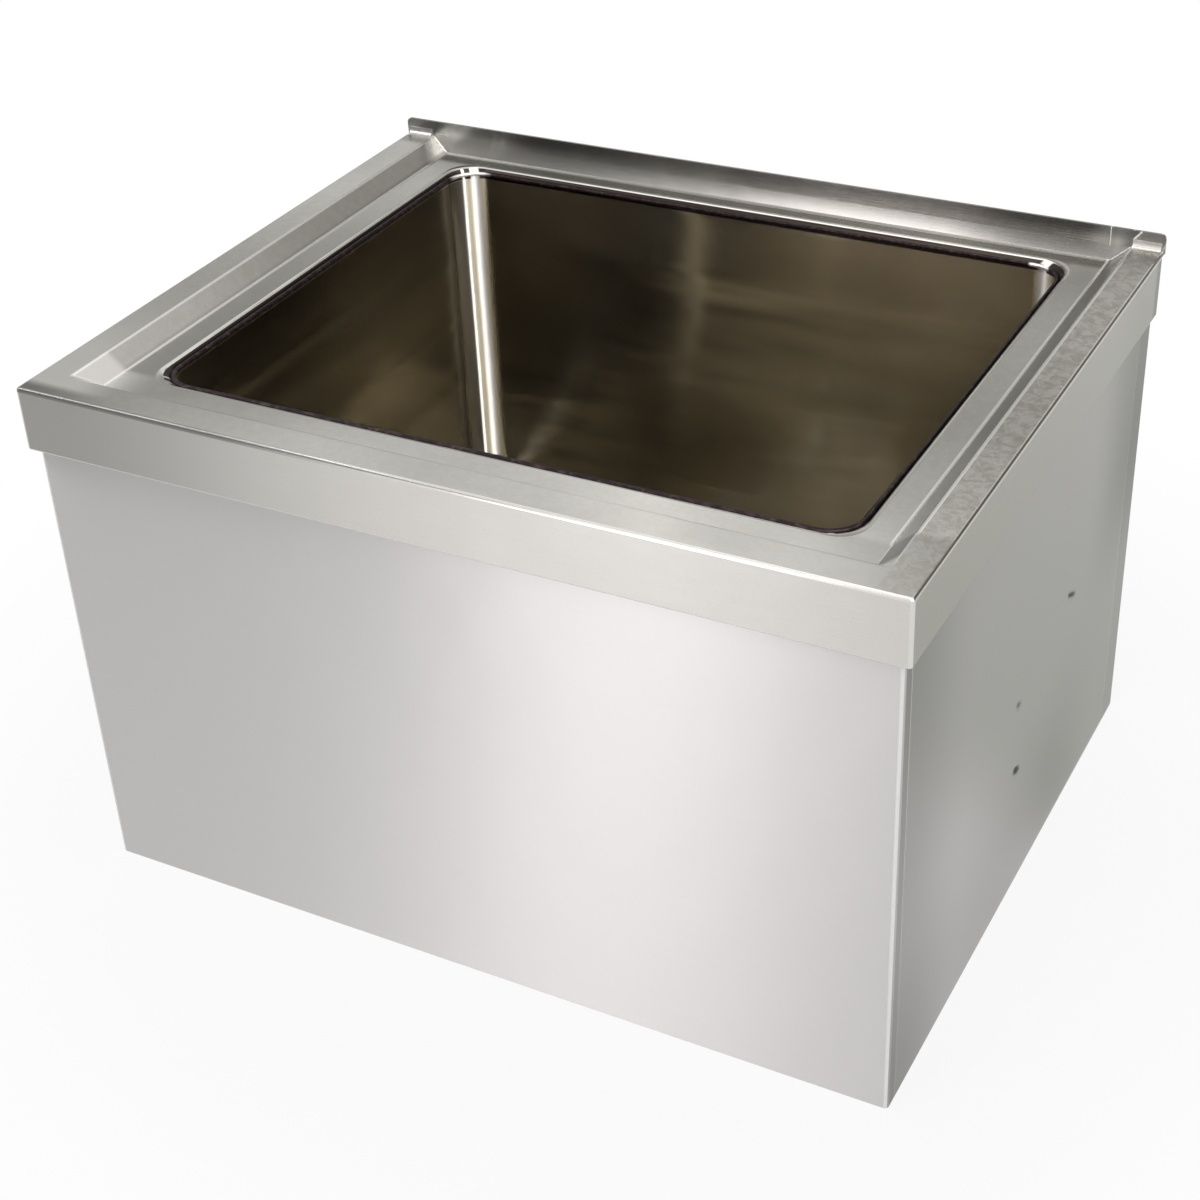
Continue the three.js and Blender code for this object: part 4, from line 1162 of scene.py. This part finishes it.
def form_strainer():
    """The lift-out strainer, drilled in rings."""
    values = {
        "Radius": STRAINER_HIGH.x,
        "Thickness": STRAINER_HIGH.z - STRAINER_LOW.z,
        "Hole": settings().hole_radius,
        "Pitch": STRAINER_PITCH,
        "Centre": (STRAINER_LOW + STRAINER_HIGH) / 2,
        "Material": finish("polished_steel"),
    }
    plate = strainer_tree().grow("strainer_shape", bpy.data.meshes.new("strainer"), values)
    piece = edge_finished(plate, "strainer_plate_drilled", 0.3 * MM)
    settle(piece, "polished_steel", "strainer_plate", body=STRAINER)


def nut_ring(name, inner, outer, low, high, lip=None):
    """A nut's ring, with an inturned lip at its foot if one is given."""
    edge = 0.6 * MM
    section = [
        (inner if lip is None else lip, low),
        (outer - edge, low),
        (outer, low + edge),
        (outer, high - edge),
        (outer - edge, high),
        (inner + edge, high),
        (inner, high - edge),
    ]
    if lip is not None:
        section += [(inner, low + 3 * MM), (lip, low + 3 * MM)]
    return turned(name, section)


def lug_mesh(inner, outer, width, low, high):
    """One lug or rib, with rounded edges, pointing along +X from the drain's axis."""
    edge = min(width, outer - inner) * LUG_ROUNDING
    return box_mesh("lug", (inner, -width / 2, low), (outer, width / 2, high), edge)


def form_nut(name, node, nut, lug, count):
    """A nut: its ring and the lugs or ribs round it, as one mesh."""
    values = {"Count": count, "Centre": DRAIN_AXIS, "Material": finish("nut_brass")}
    lugs = wheel_tree().grow(name + "_lugs", lug, values)
    both = joined_meshes(name, nut, lugs.data)
    bpy.data.objects.remove(lugs)
    both.materials.append(finish("nut_brass"))
    piece = edge_finished(shown(name + "_shape", both), name, 0)
    settle(piece, "nut_brass", node)


def form_drain():
    """Everything at the bowl's outlet."""
    form_drain_body()
    form_strainer()
    locknut = nut_ring("locknut_ring", 44.8 * MM, 53 * MM, LOCKNUT_LOW.z, LOCKNUT_HIGH.z)
    lug = lug_mesh(50 * MM, LOCKNUT_HIGH.x, 12 * MM, LOCKNUT_LOW.z, LOCKNUT_HIGH.z - 3 * MM)
    form_nut("locknut_cast", "drain_locknut", locknut, lug, 8)
    outside = 35.3 * MM
    cup = nut_ring("outlet_cup", 30.3 * MM, outside, NUT_LOW.z, NUT_HIGH.z, lip=26 * MM)
    rib = lug_mesh(outside - MM, NUT_HIGH.x, 4 * MM, NUT_LOW.z + MM, NUT_HIGH.z - MM)
    form_nut("outlet_nut_cast", "outlet_nut", cup, rib, 12)
    for node, slot in (
        ("drain_gasket", "black_rubber"),
        ("friction_washer", "fibre_board"),
        ("outlet_seal", "black_rubber"),
    ):
        settle(dressed(node, node + "_finished", 0.2 * MM), slot, node)


# ---------------------------------------------------------------- welds

LIP_WELD_X = DECK_HIGH.x - 40 * MM
WELD_PROUD = 0.15 * MM
RIPPLE_PITCH = 0.9 * MM
SEAM_OUT = -1.7 * MM  # of the seam weld's middle from the bowl's wall, outwards
SEAM_HALF_WIDTH = 2.3 * MM
SEAM_HALF_HEIGHT = 2.4 * MM
SEAM_WELD_LEVEL = DECK_LEVEL - 3.6 * MM
SEAM_STEPS = 10  # round its section
SEAM_CORNER_STEPS, SEAM_SIDE_STEPS = 16, 60
SEAM_AT_BACK = 0.62  # of its size at the front and the left
SEAM_AT_RIGHT = 0.56


def ramp(value, low, high):
    """0 up to low, 1 from high on, and straight between them."""
    return min(1.0, max(0.0, (value - low) / (high - low)))


def seam_size(point):
    """How large the seam weld is at a point: smaller along the back and the right side."""
    at_back = ramp(point.y, BOWL_BACK - 50 * MM, BOWL_BACK - 10 * MM)
    at_right = ramp(point.x, BOWL_RIGHT - 20 * MM, BOWL_RIGHT - 3 * MM)
    at_right *= ramp(point.y, BOWL_FRONT, BOWL_FRONT + 120 * MM)
    return min(1 + at_back * (SEAM_AT_BACK - 1), 1 + at_right * (SEAM_AT_RIGHT - 1))


def seam_ring(out, z):
    """A ring at a distance out from the bowl's wall."""
    half = BOWL_RIGHT + out
    front, back = BOWL_FRONT - out, BOWL_BACK + out
    return ring(half, front, back, BOWL_CORNER + out, z, SEAM_CORNER_STEPS, SEAM_SIDE_STEPS)


def lay_seam_weld():
    """The unground weld round the opening, where the deck's rolled edge meets the bowl, dark as painted
    shade.
    """
    wall = seam_ring(0, SEAM_WELD_LEVEL)
    rings = []
    for step in range(SEAM_STEPS):
        angle = 2 * math.pi * step / SEAM_STEPS
        out = SEAM_OUT + SEAM_HALF_WIDTH * math.cos(angle)
        full = seam_ring(out, SEAM_WELD_LEVEL + SEAM_HALF_HEIGHT * math.sin(angle))
        rings.append([a.lerp(b, seam_size(a)) for a, b in zip(wall, full)])
    mesh = as_mesh("seam_weld", *lofted(rings, True))
    tidy_mesh(mesh, 0)
    bead = shown("seam_weld", mesh)
    mesh.materials.append(finish("seam_weld"))
    mesh.shade_smooth()
    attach(bead, SINK)


def lay_welds():
    """Ground welds up the tile lip, near its right end and where the slope runs into it."""
    tree = bead_tree()
    top = DECK_HIGH.z - 0.8 * MM
    for kind, foot, head in (
        ("upright", (LIP_WELD_X, DECK_LEVEL + 7 * MM), (LIP_WELD_X, top)),
        ("slanting", (SLOPE_START, RIM_LEVEL + 6 * MM), (SLOPE_START + 5 * MM, top)),
    ):
        start, end = (Vector((x, LIP_FACE, z)) for x, z in (foot, head))
        values = {
            "Start": start,
            "End": end,
            "Count": round((end - start).length / RIPPLE_PITCH),
            "Width": settings().weld_width,
            "Proud": WELD_PROUD,
            "Material": finish("polished_steel"),
        }
        name = "lip_weld_right_" + kind
        bead = tree.grow(name, bpy.data.meshes.new(name), values)
        bead.data.shade_smooth()
        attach(bead, SINK)


# ---------------------------------------------------------------- stage

EYE = Vector((0.6525, -1.1934, 1.0548))
AZIMUTH = math.radians(-29.368)
ELEVATION = math.radians(-33.112)
ROLL = math.radians(-2.929)
LENS = 65.167
SENSOR = 36.0

FLOOR_SIZE = 14.0
FLOOR_DROP = 0.1 * MM
WHITE_LEAST = 0.86  # share of plain white next to the sink
WHITE_FROM, WHITE_TO = 0.32, 0.8  # distances over which the floor turns plain white

AMBIENT = 0.62  # of white, on dull surfaces

# Lamps for dull surfaces: name, centre, width, height, energy by area.
LAMPS = (
    ("key", (-1.25, -2.3, 2.1), 2.0, 1.8, 1.9),
    ("top", (-0.2, 0.9, 3.0), 2.4, 1.6, 1.2),
)
# Soft-edged reflectors round the sink, which only gloss shows: name, from and to angle to the left
# of the front, from and to angle above the floor, colour. Degrees.
REFLECTORS = (
    ("strip", 12, 26, -8, 16, (5.0, 4.8, 4.9)),
    ("strip_top", 12, 26, 12, 48, (2.9, 2.8, 2.8)),
    ("front_top", 10, 44, 48, 68, (2.4, 2.3, 2.3)),
    ("left_top", 44, 74, 74, 88, (6, 6, 6)),
    ("left_flag", 28, 85, -6, 18, (0.15, 0.15, 0.15)),
    ("left_flag_top", 28, 58, 14, 48, (0.15, 0.15, 0.15)),
    ("left_window", 64, 84, 20, 62, (7, 7, 7)),
    ("right_flag", -12, 12, -6, 60, (0.7, 0.7, 0.7)),
    ("window", -40, -13, 25, 86, (12, 12, 12)),
    ("tube", -72, -63, 25, 86, (34, 34, 34)),
    ("side_flag", 180, 265, -80, 0, (0.57, 0.59, 0.55)),
    ("side_dark", 180, 265, 0, 50, (0.16, 0.14, 0.12)),
    ("back_left_flag", 96, 162, 2, 36, (0.40, 0.40, 0.38)),
    ("back_flag", 152, 180, 5, 52, (0.45, 0.45, 0.42)),
    ("overhead", 110, 180, 48, 88, (1.8, 1.8, 1.75)),
)
REACH = 2.8  # distance of the reflectors
SOFT_EDGE = 0.25  # of a reflector's width
AIM = Vector((0, 0, 0.25))


def set_camera():
    """The photograph's viewpoint."""
    level = math.cos(ELEVATION)
    look = Vector((math.sin(AZIMUTH) * level, math.cos(AZIMUTH) * level, math.sin(ELEVATION)))
    right = look.cross(Vector((0, 0, 1))).normalized()
    up = right.cross(look)
    turned_right = right * math.cos(ROLL) + up * math.sin(ROLL)
    turned_up = up * math.cos(ROLL) - right * math.sin(ROLL)
    pose = Matrix((turned_right, turned_up, -look)).transposed().to_4x4()
    pose.translation = EYE
    camera = bpy.data.objects.new("camera", bpy.data.cameras.new("camera"))
    camera.matrix_world = pose
    camera.data.sensor_width = SENSOR
    camera.data.lens = LENS
    camera.data.clip_end = 60
    bpy.context.scene.collection.objects.link(camera)
    bpy.context.scene.camera = camera


def seen_directly(wiring):
    """1 for rays from the camera and for those that gloss or glass sends on."""
    path = wiring.tree.nodes.new("ShaderNodeLightPath")
    rays = [Value(wiring, path.outputs[f"Is {kind} Ray"]) for kind in ("Camera", "Glossy", "Transmission")]
    return wiring.maths("MINIMUM", rays[0] + rays[1] + rays[2], 1.0)


def floor_finish():
    """A pale floor that turns plain white away from the sink, and is clear from below."""
    paint = Paint("studio_floor")
    place = paint.place()
    x, y, _ = paint.parts(place)
    away = paint.maths("SQRT", x * x + y * y)
    white = paint.smooth(away, WHITE_FROM, WHITE_TO, WHITE_LEAST) * seen_directly(paint)
    fleck = paint.noise(place, 60.0, 3.0, 0.6)
    colour = settings().floor_colour
    base = paint.blend(fleck, scaled(colour, 0.985), scaled(colour, 1.015))
    dull = paint.node("ShaderNodeBsdfDiffuse", None, {"Color": base})
    glow = paint.node("ShaderNodeEmission", None, {"Color": (1, 1, 1, 1), "Strength": 1.0})
    lit = paint.node("ShaderNodeMixShader", None, {0: white, 1: dull, 2: glow})
    below = paint.node("ShaderNodeNewGeometry", output="Backfacing")
    clear = paint.node("ShaderNodeBsdfTransparent")
    both = paint.node("ShaderNodeMixShader", None, {0: below, 1: lit, 2: clear})
    paint.node("ShaderNodeOutputMaterial", None, {"Surface": both})
    return paint.material


def set_floor():
    half = FLOOR_SIZE / 2
    corners = [(-half, -half), (half, -half), (half, half), (-half, half)]
    mesh = as_mesh("floor", [(x, y, -FLOOR_DROP) for x, y in corners], [(0, 1, 2, 3)])
    mesh.materials.append(floor_finish())
    shown("studio_floor", mesh)


def set_world():
    """White to the eye and to gloss, softer as a light on dull surfaces."""
    world = bpy.data.worlds.new("studio")
    world.use_nodes = True
    wiring = Wiring(world.node_tree)
    wiring.tree.nodes.clear()
    seen = seen_directly(wiring)
    strength = AMBIENT + seen * (1 - AMBIENT)
    glow = wiring.node("ShaderNodeBackground", None, {"Color": (1, 1, 1, 1), "Strength": strength})
    wiring.node("ShaderNodeOutputWorld", None, {"Surface": glow})
    bpy.context.scene.world = world


def aimed(centre):
    """A placement at centre whose -Z looks at the sink."""
    place = (AIM - centre).to_track_quat("-Z", "Y").to_matrix().to_4x4()
    place.translation = centre
    return place


def set_lamps():
    for name, centre, width, height, brightness in LAMPS:
        lamp = bpy.data.lights.new(name, "AREA")
        lamp.shape = "RECTANGLE"
        lamp.size = width
        lamp.size_y = height
        lamp.energy = brightness * width * height * math.pi
        made = bpy.data.objects.new(name, lamp)
        made.matrix_world = aimed(Vector(centre))
        made.visible_camera = False
        made.visible_glossy = False
        bpy.context.scene.collection.objects.link(made)


def reflector_finish(name, colour):
    """Plain light that fades out towards the reflector's edges."""
    paint = Paint(name)
    glow = paint.node("ShaderNodeEmission", None, {"Color": (*colour, 1), "Strength": 1.0})
    clear = paint.node("ShaderNodeBsdfTransparent")
    cover = paint.marked("cover")
    faded = paint.node("ShaderNodeMixShader", None, {0: cover, 1: clear, 2: glow})
    paint.node("ShaderNodeOutputMaterial", None, {"Surface": faded})
    return paint.material


def fade(share):
    """0 at both ends of a reflector and 1 across its middle, smoothly."""
    near = min(1.0, min(share, 1 - share) / SOFT_EDGE)
    return near * near * (3 - 2 * near)


REFLECTOR_STEPS = 16
FLOOR_CLEAR = 2 * MM


def reflector(name, left_from, left_to, up_from, up_to, colour):
    """A patch of a ball round the sink, running on along the floor below its edge."""
    points, cover, faces = [], [], []
    count = REFLECTOR_STEPS + 1
    for row in range(count):
        up = math.radians(up_from + (up_to - up_from) * row / REFLECTOR_STEPS)
        for column in range(count):
            turn = math.radians(left_from + (left_to - left_from) * column / REFLECTOR_STEPS)
            out = Vector((-math.sin(turn) * math.cos(up), -math.cos(turn) * math.cos(up), math.sin(up)))
            to_floor = (AIM.z - FLOOR_CLEAR) / max(-out.z, MM)
            points.append(AIM + out * min(REACH, to_floor))
            cover.append(fade(row / REFLECTOR_STEPS) * fade(column / REFLECTOR_STEPS))
    for row in range(REFLECTOR_STEPS):
        for column in range(REFLECTOR_STEPS):
            corner = row * count + column
            faces.append((corner, corner + 1, corner + count + 1, corner + count))
    mesh = as_mesh(name, points, faces)
    mesh.attributes.new("cover", "FLOAT", "POINT").data.foreach_set("value", cover)
    mesh.materials.append(reflector_finish(name, colour))
    made = shown(name, mesh)
    made.visible_camera = False
    made.visible_diffuse = False
    made.visible_shadow = False


def set_stage():
    """Camera, floor, light and reflections."""
    scene = bpy.context.scene
    scene.view_settings.view_transform = "Standard"
    set_camera()
    set_floor()
    set_world()
    set_lamps()
    for each in REFLECTORS:
        reflector(*each)


# ---------------------------------------------------------------- operators and panel


class Step:
    """What every operator here does: its jobs, in order."""

    def execute(self, context):
        for job in self.jobs:
            job()
        return {"FINISHED"}


class SINK_OT_deck(Step, bpy.types.Operator):
    """Dress the pressed deck"""

    bl_idname = "sink.deck"
    bl_label = "Deck"
    jobs = (dress_deck,)


class SINK_OT_bowl(Step, bpy.types.Operator):
    """Form the drawn bowl"""

    bl_idname = "sink.bowl"
    bl_label = "Bowl"
    jobs = (form_bowl,)


class SINK_OT_panels(Step, bpy.types.Operator):
    """Dress the base panels, dent the side ones and trim their rear edges"""

    bl_idname = "sink.panels"
    bl_label = "Base panels"
    jobs = (dress_panels, trim_rear_edges)


class SINK_OT_inner_frame(Step, bpy.types.Operator):
    """Dress posts, stiffeners, channels and pads"""

    bl_idname = "sink.inner_frame"
    bl_label = "Inner frame"
    jobs = (dress_inner_frame,)


class SINK_OT_drain(Step, bpy.types.Operator):
    """Form the drain, its strainer, nuts and seals"""

    bl_idname = "sink.drain"
    bl_label = "Drain"
    jobs = (form_drain,)


class SINK_OT_welds(Step, bpy.types.Operator):
    """Lay the seam weld round the opening and the ground welds on the tile lip"""

    bl_idname = "sink.welds"
    bl_label = "Welds"
    jobs = (lay_seam_weld, lay_welds)


class SINK_OT_stage(Step, bpy.types.Operator):
    """Set up camera, floor and studio light"""

    bl_idname = "sink.stage"
    bl_label = "Stage"
    jobs = (set_stage,)


OPERATORS = (
    SINK_OT_stage,
    SINK_OT_deck,
    SINK_OT_bowl,
    SINK_OT_panels,
    SINK_OT_inner_frame,
    SINK_OT_drain,
    SINK_OT_welds,
)


class SINK_PT_sidebar(bpy.types.Panel):
    """Lists the sink's settings and building steps"""

    bl_idname = "SINK_PT_sidebar"
    bl_label = "Mop sink"
    bl_space_type = "VIEW_3D"
    bl_region_type = "UI"
    bl_category = "Mop sink"

    def draw(self, context):
        for name in SinkSettings.__annotations__:
            self.layout.prop(context.scene.sink_settings, name)
        for operator in OPERATORS:
            self.layout.operator(operator.bl_idname)


CLASSES = (SinkSettings, *OPERATORS, SINK_PT_sidebar)


def register():
    for each in CLASSES:
        bpy.utils.register_class(each)
    bpy.types.Scene.sink_settings = PointerProperty(type=SinkSettings)


def unregister():
    del bpy.types.Scene.sink_settings
    for each in reversed(CLASSES):
        bpy.utils.unregister_class(each)


def main():
    register()
    for operator in OPERATORS:
        group, name = operator.bl_idname.split(".")
        getattr(getattr(bpy.ops, group), name)()


if __name__ == "__main__":
    main()
